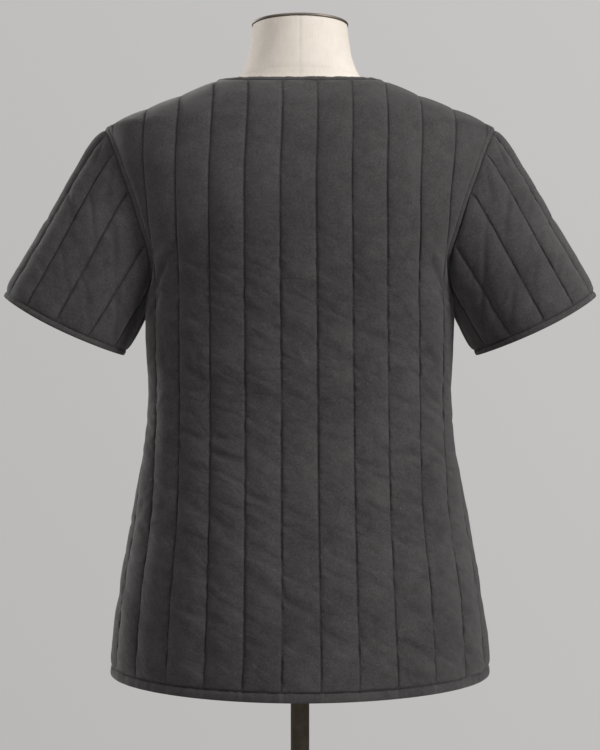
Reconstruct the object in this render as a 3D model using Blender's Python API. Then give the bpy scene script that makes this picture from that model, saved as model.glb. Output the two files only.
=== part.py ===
"""A short-sleeved padded gambeson on a limbless dress form.

The garment's front faces -Y and its wearer's left is +X. The origin is on the floor, under the middle of
the base. Every table and size is in millimetres above the hem or from the middle, and MM makes metres.
"""

import math

import bmesh
import bpy
import numpy as np

MM = 0.001
HEM = 500.0  # the hem's height above the floor
WALL = 5.0  # cloth, wadding and lining together
PUFF = 2.2  # how far a channel swells between its two rows of stitching
SEAM = 0.3  # the gap kept between neighbouring pieces

# The body at the stitching: half its width, its depth behind and in front of the shoulder seams, and its
# sections' exponent, where 2 is an ellipse and more is squarer
BODY = np.array(
    [
        (0, 226.5, 175, 167, 1.95),
        (69, 217.5, 159, 153, 2.0),
        (126, 208.5, 144, 141, 2.1),
        (166, 201.5, 134, 133, 2.15),
        (218, 192.5, 122, 123, 2.2),
        (281, 182.5, 109, 112, 2.2),
        (345, 178.5, 102, 106, 2.2),
        (390, 181, 104, 112, 2.2),
        (424, 182.5, 107, 119, 2.2),
        (444, 182, 109, 123, 2.2),
        (466, 184, 111, 126, 2.2),
        (496, 191, 114, 129, 2.2),
        (528, 205, 116, 129, 2.2),
        (562, 218, 116, 126, 2.1),
        (598, 228, 112, 119, 2.0),
        (626, 232, 105, 111, 1.9),
        (652, 232, 96, 102, 1.85),
        (663, 210, 91, 98, 1.85),
        (675.5, 178, 84, 91, 1.9),
        (691, 138, 74, 80, 1.95),
        (698, 121, 69, 74, 2.0),
        (707.5, 97.5, 62, 66, 2.0),
        (715, 77, 56, 58, 2.0),
    ],
    dtype=[
        ("height", float),
        ("half_width", float),
        ("back", float),
        ("front", float),
        ("roundness", float),
    ],
)
SHOULDER_TIP = 652.0
UNDERARM = 444.0

# The dress form inside it, up to the top of its neck
FORM = np.array(
    [
        (80, 196, 128, 122, 2.2),
        (126, 194, 126, 121, 2.2),
        (166, 187, 119, 116, 2.2),
        (218, 178, 108, 108, 2.2),
        (281, 168, 96, 97, 2.2),
        (345, 163, 89, 92, 2.2),
        (390, 166, 91, 98, 2.2),
        (424, 168, 94, 105, 2.2),
        (466, 170, 98, 111, 2.2),
        (528, 175, 103, 115, 2.2),
        (562, 177, 103, 111, 2.2),
        (598, 179, 99, 104, 2.2),
        (626, 180, 92, 97, 2.2),
        (645, 178, 85, 89, 2.2),
        (660, 168, 78, 82, 2.2),
        (671, 152, 72, 77, 2.15),
        (681, 131, 67, 73, 2.1),
        (690, 109, 62, 70, 2.1),
        (698, 91, 57, 68, 2.05),
        (706, 79, 55.5, 66, 2),
        (716, 71, 55.5, 64, 2),
        (732, 64, 55.5, 61, 2),
        (753, 59.5, 56, 58.5, 2),
        (774.4, 57, 57, 57, 2),
    ],
    dtype=[
        ("height", float),
        ("half_width", float),
        ("back", float),
        ("front", float),
        ("roundness", float),
    ],
)

# Quilting: rows of stitching a channel apart, with a channel over the centre back. The rows nearest the
# sides fan out over the skirt
CHANNELS = np.array(
    [(0, 43.4), (87, 42.0), (222, 41.2), (356, 41.2), (590, 40.5), (640, 40.3), (702, 40.2)],
    dtype=[("height", float), ("width", float)],
)
CHANNEL_AT_NECK = 40.2
FAN = 7.2  # how much wider the fanned channels are at the hem
FAN_FROM = 2.25  # channels out from the middle
FAN_TOP = 215.0
FAN_RUN = 150.0
BODY_CHANNELS = 8  # from the centre to past the side seam at the hem
FADE = 14.0  # a channel flattens over this length before a seam

# Neck, hem and cuff bands
NECK_HALF_WIDTH = 97.5
NECK_BACK = 702.0
NECK_FRONT = 618.0
NECK_BAND = 6.25
# Extra columns where the neckline turns up to the shoulder seam, the last of them in its corner
NECK_CORNER = (2.27, 2.43, 2.54, (NECK_HALF_WIDTH + NECK_BAND) / CHANNEL_AT_NECK)
HEM_BAND = 11.0
CUFF_BAND = 7.0
BAND_PROUD = 0.6

# Front opening: the wearer's left front laps over the right by half a channel past the centre
LAP = -0.5
LAP_SINK = WALL + 1.0
BUTTONS = 7
BUTTON_DIAMETER = 20.0
BUTTON_THICKNESS = 4.5
BUTTON_RISE = PUFF + 1.5
TOP_BUTTON = 596.0
BUTTON_SPACING = 88.0

# Armhole and sleeve
ARMHOLE_REACH = 58.0
FRONT_REACH = 6.0  # the front armhole is cut this much deeper
ARMHOLE_INSET = 4.6
TIP_GROWTH = 0.75  # less height than width, because the shoulder slopes
WELT_WIDTH = 6.0
WELT_THICKNESS = 5.6
SLEEVE_START = 6.0
CUFF_CENTRE = (283.5, 415.0)
CUFF_OUTWARD = (0.894, 0.448)
CUFF_HALF_WIDTH = 79.0
CUFF_HALF_DEPTH = 73.0
CUFF_BOW = 4.0  # the cuff hangs this much lower at the back and the front
SLEEVE_HEAD = 4.0
SLEEVE_CHANNELS = 12

# Stand
CAP_DIAMETER = 116.0
CAP_THICKNESS = 3.4
POLE_DIAMETER = 22.4
BASE_DIAMETER = 360.0
BASE_THICKNESS = 9.0
HUB_DIAMETER = 62.0
HUB_HEIGHT = 40.0


def smooth(at, places, values):
    """Cubic through a table's values, with each row's slope taken from its two neighbours."""
    slopes = np.gradient(values, places)
    i = np.clip(np.searchsorted(places, at) - 1, 0, len(places) - 2)
    step = places[i + 1] - places[i]
    t = np.clip((at - places[i]) / step, 0, 1)
    rise = values[i + 1] - values[i]
    start = slopes[i] * step
    end = slopes[i + 1] * step
    return values[i] + t * (start + t * (3 * rise - 2 * start - end + t * (start + end - 2 * rise)))


def half_width(height):
    """The body widens up to the shoulder tip and runs in along the shoulder seam above it."""
    rows = BODY["height"] <= SHOULDER_TIP
    below = smooth(height, BODY["height"][rows], BODY["half_width"][rows])
    rows = BODY["height"] >= SHOULDER_TIP
    above = smooth(height, BODY["height"][rows], BODY["half_width"][rows])
    return np.where(height <= SHOULDER_TIP, below, above)


def depth(height, side):
    """How far the body stands out behind ("back") or in front ("front") of the shoulder seams."""
    return smooth(height, BODY["height"], BODY[side])


def roundness(height):
    return smooth(height, BODY["height"], BODY["roundness"])


def side_x(y, height, side):
    """x where the section has this depth y."""
    power = roundness(height)
    share = np.clip(y / depth(height, side), 0, 1)
    return half_width(height) * (1 - share**power) ** (1 / power)


def on_body(x, height, side):
    """The point of the body's section at this height, x from the middle, and the way its surface faces."""
    sign = 1 if side == "back" else -1
    wide = half_width(height)
    deep = depth(height, side)
    power = roundness(height)
    share = np.clip(np.abs(x) / wide, 0, 1)
    y = deep * (1 - share**power) ** (1 / power)
    faces_x = np.sign(x) * share ** (power - 1) / wide
    faces_y = (y / deep) ** (power - 1) / deep
    nudge = 0.5
    widening = (half_width(height + nudge) - half_width(height - nudge)) / (2 * nudge)
    deepening = (depth(height + nudge, side) - depth(height - nudge, side)) / (2 * nudge)
    faces_z = -(share**power * widening / wide + (y / deep) ** power * deepening / deep)
    facing = np.stack([faces_x, sign * faces_y, faces_z], axis=-1)
    facing /= np.linalg.norm(facing, axis=-1, keepdims=True)
    return np.stack([x, sign * y, height], axis=-1), facing


def channel_distance(channel, height):
    """How far round the body a line lies that many channels from the middle."""
    skirt = np.clip((FAN_TOP - height) / FAN_RUN, 0, 1)
    fan = FAN * skirt * skirt * (3 - 2 * skirt)
    count = np.abs(channel)
    width = np.interp(height, CHANNELS["height"], CHANNELS["width"])
    return np.sign(channel) * (count * width + fan * np.clip(count - FAN_FROM, 0, None))


def around(distance, height, side):
    """x of the place this far round the section from its middle, by walking along the section."""
    t = np.linspace(0, math.pi / 2, 181)
    found = np.empty_like(distance)
    for index in np.ndindex(distance.shape):
        wide = half_width(height[index])
        deep = depth(height[index], side)
        power = 2 / roundness(height[index])
        x = wide * np.sin(t) ** power
        y = deep * np.cos(t) ** power
        walked = np.concatenate([[0], np.cumsum(np.hypot(np.diff(x), np.diff(y)))])
        found[index] = np.interp(abs(distance[index]), walked, x)
    return np.sign(distance) * found


def column_x(channel, height, side):
    """x of a line that many channels from the middle: parallel rows that run straight over the shoulder."""
    distance = channel_distance(channel, height)
    rise = np.clip((height - 546) / (SHOULDER_TIP - 2 - 546), 0, 1)
    rise = rise * rise * (3 - 2 * rise)
    straight = np.sign(distance) * np.minimum(np.abs(distance), half_width(height))
    return (1 - rise) * around(distance, height, side) + rise * straight


def shoulder_height(x):
    heights = np.linspace(SHOULDER_TIP, BODY["height"][-1], 2001)
    return np.interp(-np.abs(x), -half_width(heights), heights)


def top_edge(x, side, grow):
    """Height of a panel's upper edge: the neckline, made wider and lower by grow, then the shoulder seam."""
    reach = NECK_HALF_WIDTH + grow
    corner = shoulder_height(reach)
    share = np.clip(np.abs(x) / reach, 0, 1)
    if side == "back":
        neck = NECK_BACK - grow + (corner - NECK_BACK + grow) * share**2
    else:
        neck = corner - (corner - NECK_FRONT + grow) * (1 - share**2.5) ** 0.5
    return np.where(np.abs(x) < reach, neck, shoulder_height(x))


def neck_place(channel, side, grow):
    """x and height where a column meets the neckline, or the neckline grown by the neck band's width."""
    reach = NECK_HALF_WIDTH + grow
    across = np.asarray(channel) * CHANNEL_AT_NECK * reach / (NECK_HALF_WIDTH + NECK_BAND)
    height = top_edge(across, side, grow)
    return column_x(across / CHANNEL_AT_NECK, height, side), height


def armhole_angle(height, grow=0.0):
    """The place on the armhole at this height: 0 at the shoulder tip and pi under the arm."""
    top = SHOULDER_TIP + TIP_GROWTH * grow
    bottom = UNDERARM - grow
    return np.arccos(np.clip((2 * height - top - bottom) / (top - bottom), -1, 1))


def armhole_depth(angle, side):
    reach = ARMHOLE_REACH - 8 * np.cos(angle) - 5 * np.cos(angle) ** 2
    if side == "front":
        reach = reach + FRONT_REACH
    return reach * np.sin(angle)


def panel_edge(height, side):
    """x of a panel's outer edge: the side seam, then the armhole, which is cut a little inside the loop."""
    grown = 1 + ARMHOLE_INSET / ARMHOLE_REACH
    y = armhole_depth(armhole_angle(height, ARMHOLE_INSET), side) * grown
    y = np.where(height > UNDERARM - ARMHOLE_INSET, y, 0)
    return np.where(height > SHOULDER_TIP + TIP_GROWTH * ARMHOLE_INSET, np.inf, side_x(y, height, side))


def row_heights(top):
    """A panel's rows: close together where it rolls over the shoulder, then even down to the hem band."""
    roll = 60.0
    rolled = [top - roll * (i / 6) ** 2.5 for i in range(6)]
    low = HEM_BAND + SEAM
    even = [low + (top - roll - low) * (1 - i / 17) for i in range(18)]
    return np.array(rolled + even)


def sink(channel, side_sign):
    """How far the right front goes under the left one near the centre."""
    if side_sign > 0:
        return np.zeros_like(channel)
    under = np.clip((1.0 - channel) / 0.4, 0, 1)
    return LAP_SINK * under * under * (3 - 2 * under)


def swell(channel, to_edge):
    """The channels' swelling, none at the stitching and less towards a seam."""
    fade = np.clip(to_edge / FADE, 0, 1)
    return PUFF * np.abs(np.cos(math.pi * channel)) * fade


def half_panel(side, side_sign, first_channel):
    """Outer and inner points of one half of the back, or of one front, from its middle to its edge."""
    channels = np.unique(np.concatenate([np.arange(first_channel, BODY_CHANNELS, 0.5), NECK_CORNER]))
    rows = []
    for channel in channels:
        rows.append(row_heights(float(neck_place(channel, side, NECK_BAND)[1])))
    height = np.array(rows).T
    channel = np.broadcast_to(channels, height.shape).copy()
    x = column_x(channel, height, side)
    for row in range(len(height)):
        beyond = x[row] > panel_edge(height[row], side) - 3.0
        if not beyond.any():
            raise ValueError("a row doesn't reach the panel's edge")
        first = int(np.argmax(beyond))
        fine = np.linspace(channels[first - 1], channels[-1], 300)
        fine_height = np.interp(fine, channels, height[row])
        fine_x = column_x(fine, fine_height, side)
        crossing = int(np.argmax(fine_x >= panel_edge(fine_height, side) - 1e-6))
        height[row, first:] = fine_height[crossing]
        channel[row, first:] = fine[crossing]
        x[row, first:] = panel_edge(fine_height[crossing], side)
    points, facing = on_body(x, height, side)
    to_edge = np.minimum(panel_edge(height, side) - x, height - HEM_BAND)
    to_edge = np.minimum(to_edge, np.abs(height - height[0]) + np.abs(points[..., 1] - points[0, :, 1]))
    under = sink(channel, side_sign) if side == "front" else 0 * channel
    out = np.where(under > 0, 0, swell(channel, to_edge)) - under
    if side == "front":
        out = np.where(channel <= LAP, -under, out)
    points[..., 1] += SEAM / 2 if side == "back" else -SEAM / 2
    outer = points + out[..., None] * facing
    inner = points - (WALL + under)[..., None] * facing
    flip = np.array([side_sign, 1, 1])
    return outer * flip, inner * flip


def place(points):
    """From the garment's millimetres above the hem to metres above the floor."""
    return (np.asarray(points, float) + (0, 0, HEM)) * MM


def material(name, colour, roughness, metallic=0.0):
    made = bpy.data.materials.new(name)
    made.use_nodes = True
    shader = made.node_tree.nodes["Principled BSDF"]
    shader.inputs["Base Color"].default_value = (*colour, 1)
    shader.inputs["Roughness"].default_value = roughness
    shader.inputs["Metallic"].default_value = metallic
    return made


def finish(name, mesh, surface, merge=2e-6):
    """Closes a bmesh into one named object with its faces outwards."""
    bmesh.ops.remove_doubles(mesh, verts=mesh.verts, dist=merge)
    bmesh.ops.recalc_face_normals(mesh, faces=mesh.faces)
    data = bpy.data.meshes.new(name)
    mesh.to_mesh(data)
    mesh.free()
    data.shade_smooth()
    data.set_sharp_from_angle(angle=math.radians(40))
    data.materials.append(surface)
    made = bpy.data.objects.new(name, data)
    bpy.context.scene.collection.objects.link(made)
    return made


def wall(name, outer, inner, surface, ring=False):
    """A closed wall between two grids of points. A ring's last column joins its first."""
    mesh = bmesh.new()
    grids = [[[mesh.verts.new(p) for p in row] for row in place(grid)] for grid in (outer, inner)]
    outside, inside = grids
    rows = len(outside)
    columns = len(outside[0])
    last = columns if ring else columns - 1
    for grid in grids:
        for i in range(rows - 1):
            for j in range(last):
                k = (j + 1) % columns
                mesh.faces.new((grid[i][j], grid[i][k], grid[i + 1][k], grid[i + 1][j]))
    for i in (0, rows - 1):
        for j in range(last):
            k = (j + 1) % columns
            mesh.faces.new((outside[i][j], outside[i][k], inside[i][k], inside[i][j]))
    if not ring:
        for j in (0, columns - 1):
            for i in range(rows - 1):
                mesh.faces.new((outside[i][j], outside[i + 1][j], inside[i + 1][j], inside[i][j]))
    return finish(name, mesh, surface)


def turned(name, profile, surface, centre=(0, 0), steps=48):
    """A solid of revolution about a vertical line, from (radius, height above the floor) points."""
    mesh = bmesh.new()
    points = [mesh.verts.new((centre[0] * MM + r * MM, centre[1] * MM, z * MM)) for r, z in profile]
    edges = [mesh.edges.new(pair) for pair in zip(points, points[1:])]
    bmesh.ops.spin(
        mesh,
        geom=points + edges,
        cent=(centre[0] * MM, centre[1] * MM, 0),
        axis=(0, 0, 1),
        angle=math.tau,
        steps=steps,
        use_merge=True,
    )
    return finish(name, mesh, surface)


def make_back(cloth):
    left = half_panel("back", 1, 0)
    right = half_panel("back", -1, 0)
    both = [np.concatenate([r[:, :0:-1], l], axis=1) for l, r in zip(left, right)]
    wall("back_panel", *both, cloth)


def make_fronts(cloth):
    for name, side_sign in (("front_left", 1), ("front_right", -1)):
        wall(name, *half_panel("front", side_sign, LAP), cloth)


def band_stations(channels):
    """Stations of a band, from the left front's lap round the back to the right one: side, sign, channel."""
    lap = [c for c in (LAP, 0.0) if c < channels[0]]
    before = lap + list(channels)
    stations = [("front", 1, c) for c in before[:-1]]
    stations += [("back", 1, c) for c in channels[::-1]]
    stations += [("back", -1, c) for c in channels if c > 0]
    stations += [("front", -1, c) for c in before[-2::-1]]
    return stations


def band_section(upper, lower, sunk, sign):
    """The four corners of a band's section, from its two edges' points and facings."""
    corners = [
        upper[0] + upper[1] * (BAND_PROUD - sunk),
        lower[0] + lower[1] * (BAND_PROUD - sunk),
        lower[0] - lower[1] * (WALL + sunk),
        upper[0] - upper[1] * (WALL + sunk),
    ]
    return np.array(corners) * (sign, 1, 1)


def make_neck_band(cloth):
    channels = sorted([0.0, 0.5, 1.0, 1.5, 2.0, 2.5, *NECK_CORNER])
    rings = []
    for side, sign, channel in band_stations(channels):
        edges = []
        for grow in (0.0, NECK_BAND - 2 * SEAM):
            x, height = neck_place(channel, side, grow)
            edges.append(on_body(x, height, side))
        sunk = float(sink(np.array(channel), sign)) if side == "front" else 0.0
        rings.append(band_section(*edges, sunk, sign))
    tube("neck_band", rings, cloth)


def tube(name, rings, surface, ring=False):
    """A bar of one section carried along its stations, closed by end faces or into a ring."""
    mesh = bmesh.new()
    loops = [[mesh.verts.new(p) for p in place(points)] for points in rings]
    count = len(loops[0])
    pairs = list(zip(loops, loops[1:] + loops[:1])) if ring else list(zip(loops, loops[1:]))
    for a, b in pairs:
        for j in range(count):
            k = (j + 1) % count
            mesh.faces.new((a[j], a[k], b[k], b[j]))
    if not ring:
        mesh.faces.new(loops[0])
        mesh.faces.new(loops[-1])
    return finish(name, mesh, surface)


def make_hem_band(cloth):
    side_seam = {}
    for side in ("back", "front"):
        walked = np.arange(0, BODY_CHANNELS, 0.01)
        x = column_x(walked, np.zeros_like(walked), side)
        side_seam[side] = walked[int(np.argmax(x >= half_width(0.0) - 0.01))]
    rings = []
    for side, sign, channel in band_stations(list(np.arange(0, 7.5, 0.5)) + [BODY_CHANNELS]):
        channel = min(channel, side_seam[side])
        edges = []
        for height in (HEM_BAND, 0.0):
            z = np.array(height)
            edges.append(on_body(column_x(np.array(channel), z, side), z, side))
        sunk = float(sink(np.array(channel), sign)) if side == "front" else 0.0
        rings.append(band_section(*edges, sunk, sign))
    tube("hem_band", rings, cloth)


def armhole_loop(angle):
    """Points of the left armhole, 0 at the shoulder tip, then round the back, under the arm and the front."""
    angle = np.mod(angle, math.tau)
    behind = angle <= math.pi
    fold = np.where(behind, angle, math.tau - angle)
    middle = (SHOULDER_TIP + UNDERARM) / 2
    height = middle + (SHOULDER_TIP - UNDERARM) / 2 * np.cos(fold)
    spots = []
    facings = []
    for side, chosen in (("back", behind), ("front", ~behind)):
        spot, facing = on_body(side_x(armhole_depth(fold, side), height, side), height, side)
        spots.append(np.where(chosen[..., None], spot, 0))
        facings.append(np.where(chosen[..., None], facing, 0))
    return spots[0] + spots[1], facings[0] + facings[1]


def make_welts(cloth):
    """The narrow raised strip that covers each armhole seam."""
    stations = 40
    angle = np.arange(stations) * math.tau / stations
    centre, body_facing = armhole_loop(angle)
    facing = body_facing + 1.5 * sleeve_facing(angle, np.full(stations, 0.02))
    facing /= np.linalg.norm(facing, axis=1, keepdims=True)
    along = np.roll(centre, -1, axis=0) - np.roll(centre, 1, axis=0)
    along /= np.linalg.norm(along, axis=1, keepdims=True)
    across = np.cross(along, facing)
    across /= np.linalg.norm(across, axis=1, keepdims=True)
    facing = np.cross(across, along)
    middle = centre - facing * (WELT_THICKNESS / 2 - 0.8)
    corners = 8
    turn = (np.arange(corners) + 0.5) * math.tau / corners
    wide = WELT_WIDTH / 2 * np.cos(turn)
    thick = WELT_THICKNESS / 2 * np.sin(turn)
    rings = middle[:, None] + wide[:, None] * across[:, None] + thick[:, None] * facing[:, None]
    for name, sign in (("armhole_welt_left", 1), ("armhole_welt_right", -1)):
        tube(name, list(rings * (sign, 1, 1)), cloth, ring=True)


def sleeve_surface(angle, along):
    """The left sleeve, from the armhole (along 0) to its cuff (along 1), with a rounded head."""
    shift = math.radians(13.5) * np.sin(angle) + math.radians(3) * np.sin(2 * angle)
    start, _ = armhole_loop(angle - shift)
    out_x, out_z = CUFF_OUTWARD
    wide = CUFF_HALF_WIDTH * np.cos(angle)
    bow = CUFF_BOW * np.sin(angle) ** 2
    end = np.stack(
        [
            CUFF_CENTRE[0] + wide * out_x + bow * out_z,
            CUFF_HALF_DEPTH * np.sin(angle),
            CUFF_CENTRE[1] + wide * out_z - bow * out_x,
        ],
        axis=-1,
    )
    head = along / 0.2 * np.exp(1 - along / 0.2) * np.cos(angle / 2) ** 2
    lift = np.array([0.86, 0.0, 0.51]) * SLEEVE_HEAD
    return start + along[..., None] * (end - start) + head[..., None] * lift


def sleeve_length(angle):
    zero = np.zeros_like(angle)
    return np.linalg.norm(sleeve_surface(angle, zero + 1) - sleeve_surface(angle, zero), axis=-1)


def sleeve_facing(angle, along):
    nudge = 1e-3
    round_it = sleeve_surface(angle + nudge, along) - sleeve_surface(angle - nudge, along)
    down_it = sleeve_surface(angle, along + nudge) - sleeve_surface(angle, along - nudge)
    facing = np.cross(down_it, round_it)
    return facing / np.linalg.norm(facing, axis=-1, keepdims=True)


def make_sleeves(cloth):
    half_channels = SLEEVE_CHANNELS * 2
    angle = np.arange(half_channels) * math.tau / half_channels
    rows = 9
    length = sleeve_length(angle)
    start = SLEEVE_START / length
    end = 1 - (CUFF_BAND + SEAM) / length
    share = np.linspace(0, 1, rows)[:, None]
    along = start + (end - start) * share
    angles = np.broadcast_to(angle, along.shape)
    points = sleeve_surface(angles, along)
    facing = sleeve_facing(angles, along)
    to_edge = np.minimum(along - start, end - along) * length
    # A row of stitching runs down the sleeve's top line
    out = PUFF * np.abs(np.sin(angles * SLEEVE_CHANNELS / 2)) * np.clip(to_edge / FADE, 0, 1)
    outer = points + out[..., None] * facing
    inner = points - WALL * facing
    for name, sign in (("sleeve_left", 1), ("sleeve_right", -1)):
        wall(name, outer * (sign, 1, 1), inner * (sign, 1, 1), cloth, ring=True)


def make_cuff_bands(cloth):
    stations = 36
    angle = np.arange(stations) * math.tau / stations
    length = sleeve_length(angle)
    rings = []
    for along in (1 - CUFF_BAND / length, np.ones(stations)):
        points = sleeve_surface(angle, along)
        facing = sleeve_facing(angle, along)
        rings.append((points + facing * BAND_PROUD, points - facing * WALL))
    (top_out, top_in), (low_out, low_in) = rings
    sections = np.stack([top_out, low_out, low_in, top_in], axis=1)
    for name, sign in (("cuff_band_left", 1), ("cuff_band_right", -1)):
        tube(name, list(sections * (sign, 1, 1)), cloth, ring=True)


def make_buttons(horn):
    """Plain round buttons down the lap, each turned to face the way the cloth faces there."""
    for number in range(BUTTONS):
        height = np.array(TOP_BUTTON - number * BUTTON_SPACING)
        spot, facing = on_body(np.array(0.0), height, "front")
        rest = spot + facing * BUTTON_RISE
        mesh = bmesh.new()
        radius = BUTTON_DIAMETER / 2
        profile = (
            (0, 0),
            (radius - 1.2, 0),
            (radius, 1.2),
            (radius, BUTTON_THICKNESS - 1.4),
            (radius - 1.4, BUTTON_THICKNESS),
            (radius - 3.4, BUTTON_THICKNESS - 1.0),
            (0, BUTTON_THICKNESS - 1.0),
        )
        points = [mesh.verts.new((r * MM, 0, z * MM)) for r, z in profile]
        edges = [mesh.edges.new(pair) for pair in zip(points, points[1:])]
        bmesh.ops.spin(
            mesh,
            geom=points + edges,
            axis=(0, 0, 1),
            cent=(0, 0, 0),
            angle=math.tau,
            steps=16,
            use_merge=True,
        )
        made = finish(f"button_{number + 1}", mesh, horn)
        tilt = math.asin(facing[2])
        made.rotation_euler = (math.pi / 2 - tilt, 0, 0)
        made.location = place(rest)


def make_form(linen):
    """Torso and neck in one, without limbs, ending above the hem so that the skirt hangs free."""
    steps = 40
    t = np.arange(steps) * math.tau / steps
    heights = FORM["height"]
    rings = []
    for row in FORM:
        power = 2 / row["roundness"]
        x = row["half_width"] * np.sign(np.sin(t)) * np.abs(np.sin(t)) ** power
        deep = np.where(np.cos(t) > 0, row["back"], row["front"])
        y = deep * np.sign(np.cos(t)) * np.abs(np.cos(t)) ** power
        rings.append(np.stack([x, y, np.full(steps, row["height"])], axis=-1))
    tube("dress_form", rings, linen)


def make_stand(metal, dark_metal):
    neck_top = HEM + FORM["height"][-1]
    cap = CAP_DIAMETER / 2
    bottom = neck_top + SEAM
    turned(
        "neck_cap",
        (
            (0, bottom),
            (cap - 0.8, bottom),
            (cap, bottom + 0.8),
            (cap, bottom + CAP_THICKNESS - 1.0),
            (cap - 1.2, bottom + CAP_THICKNESS),
            (cap - 14, bottom + CAP_THICKNESS + 1.2),
            (0, bottom + CAP_THICKNESS + 1.6),
        ),
        metal,
        steps=40,
    )
    form_bottom = HEM + FORM["height"][0]
    pole = POLE_DIAMETER / 2
    turned(
        "pole",
        (
            (0, BASE_THICKNESS + SEAM),
            (pole, BASE_THICKNESS + SEAM),
            (pole, form_bottom - SEAM),
            (0, form_bottom - SEAM),
        ),
        dark_metal,
        steps=24,
    )
    hub = HUB_DIAMETER / 2
    low = BASE_THICKNESS + SEAM
    turned(
        "base_hub",
        (
            (pole + SEAM, low),
            (hub, low),
            (hub, low + 5),
            (hub - 8, low + 10),
            (pole + 5, low + HUB_HEIGHT - 4),
            (pole + 4, low + HUB_HEIGHT),
            (pole + SEAM, low + HUB_HEIGHT),
            (pole + SEAM, low),
        ),
        dark_metal,
        steps=32,
    )
    base = BASE_DIAMETER / 2
    turned(
        "base_plate",
        (
            (0, 0),
            (base - 1.5, 0),
            (base, 1.5),
            (base, BASE_THICKNESS - 5),
            (base - 3, BASE_THICKNESS - 2),
            (base - 9, BASE_THICKNESS - 0.4),
            (base - 16, BASE_THICKNESS),
            (0, BASE_THICKNESS),
        ),
        dark_metal,
        steps=64,
    )


def main():
    for startup in list(bpy.data.objects):
        bpy.data.objects.remove(startup)
    cloth = material("charcoal quilted cotton", (0.045, 0.043, 0.044), 0.9)
    horn = material("dark horn", (0.03, 0.026, 0.023), 0.4)
    linen = material("natural linen", (0.72, 0.66, 0.58), 0.85)
    metal = material("bronzed steel", (0.12, 0.095, 0.075), 0.35, 1.0)
    dark_metal = material("black bronze steel", (0.04, 0.034, 0.028), 0.4, 1.0)
    make_back(cloth)
    make_fronts(cloth)
    make_neck_band(cloth)
    make_hem_band(cloth)
    make_sleeves(cloth)
    make_cuff_bands(cloth)
    make_welts(cloth)
    make_buttons(horn)
    make_form(linen)
    make_stand(metal, dark_metal)


main()
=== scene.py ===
"""A short-sleeved quilted gambeson, buttoned down the front, on a limbless linen dress form and a pole stand.

Sizes in the tables are millimetres above the hem or from the middle, and place() turns them into metres
above the floor. The garment's front faces -Y and its wearer's left is +X. Quilting is counted in channels:
rows of stitching lie half a channel either side of the middle, then every whole channel further out.
"""

import math

import bpy
import numpy as np
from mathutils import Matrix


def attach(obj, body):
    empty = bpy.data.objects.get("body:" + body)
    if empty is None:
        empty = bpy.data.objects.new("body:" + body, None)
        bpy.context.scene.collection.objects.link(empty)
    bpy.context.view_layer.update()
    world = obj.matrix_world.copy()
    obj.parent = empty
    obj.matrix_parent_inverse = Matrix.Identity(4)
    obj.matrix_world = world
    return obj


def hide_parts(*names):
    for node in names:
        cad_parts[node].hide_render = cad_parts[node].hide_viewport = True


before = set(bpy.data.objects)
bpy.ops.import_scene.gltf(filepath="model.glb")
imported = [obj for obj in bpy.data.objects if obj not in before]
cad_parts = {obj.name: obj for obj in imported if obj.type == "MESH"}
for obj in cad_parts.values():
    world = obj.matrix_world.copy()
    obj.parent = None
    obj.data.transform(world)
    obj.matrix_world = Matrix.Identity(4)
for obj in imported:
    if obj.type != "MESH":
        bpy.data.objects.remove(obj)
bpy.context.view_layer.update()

MM = 0.001
HEM = 500.0  # the hem's height above the floor
WALL = 5.0  # cloth, wadding and lining together
SEAM = 0.3  # the gap kept between neighbouring pieces


def table(columns, rows):
    """A short table whose columns are called by name."""
    return np.array(rows, dtype=[(name, float) for name in columns.split()])


# Half width, depth behind and before the shoulder seams, and the section's exponent
BODY = table(
    "height half_width back front roundness",
    [
        (0, 226.5, 175, 167, 1.95),
        (69, 217.5, 159, 153, 2.0),
        (126, 208.5, 144, 141, 2.1),
        (166, 201.5, 134, 133, 2.15),
        (218, 192.5, 122, 123, 2.2),
        (281, 182.5, 109, 112, 2.2),
        (345, 178.5, 102, 106, 2.2),
        (390, 181, 104, 112, 2.2),
        (424, 182.5, 107, 119, 2.2),
        (444, 182, 109, 123, 2.2),
        (466, 184, 111, 126, 2.2),
        (496, 191, 114, 129, 2.2),
        (528, 205, 116, 129, 2.2),
        (562, 218, 116, 126, 2.1),
        (598, 228, 112, 119, 2.0),
        (626, 232, 105, 111, 1.9),
        (652, 232, 96, 102, 1.85),
        (663, 210, 91, 98, 1.85),
        (675.5, 178, 84, 91, 1.9),
        (691, 138, 74, 80, 1.95),
        (698, 121, 69, 74, 2.0),
        (707.5, 97.5, 62, 66, 2.0),
        (715, 77, 56, 58, 2.0),
    ],
)
SHOULDER_TIP = 652.0
UNDERARM = 444.0
STRAIGHT_FROM = 546.0  # above this the rows turn from following the section to running straight
STRAIGHT_AT = SHOULDER_TIP - 2
TURN_STEP = 2.0  # heights between the rows of the table of turns

FORM = table(
    "height half_width back front roundness",
    [
        (80, 196, 128, 122, 2.2),
        (126, 194, 126, 121, 2.2),
        (166, 187, 119, 116, 2.2),
        (218, 178, 108, 108, 2.2),
        (281, 168, 96, 97, 2.2),
        (345, 163, 89, 92, 2.2),
        (390, 166, 91, 98, 2.2),
        (424, 168, 94, 105, 2.2),
        (466, 170, 98, 111, 2.2),
        (528, 175, 103, 115, 2.2),
        (562, 177, 103, 111, 2.2),
        (598, 179, 99, 104, 2.2),
        (626, 180, 92, 97, 2.2),
        (645, 178, 85, 89, 2.2),
        (660, 168, 78, 82, 2.2),
        (671, 152, 72, 77, 2.15),
        (681, 131, 67, 73, 2.1),
        (690, 109, 62, 70, 2.1),
        (698, 91, 57, 68, 2.05),
        (706, 79, 55.5, 66, 2),
        (716, 71, 55.5, 64, 2),
        (732, 64, 55.5, 61, 2),
        (753, 59.5, 56, 58.5, 2),
        (774.4, 57, 57, 57, 2),
    ],
)

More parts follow.
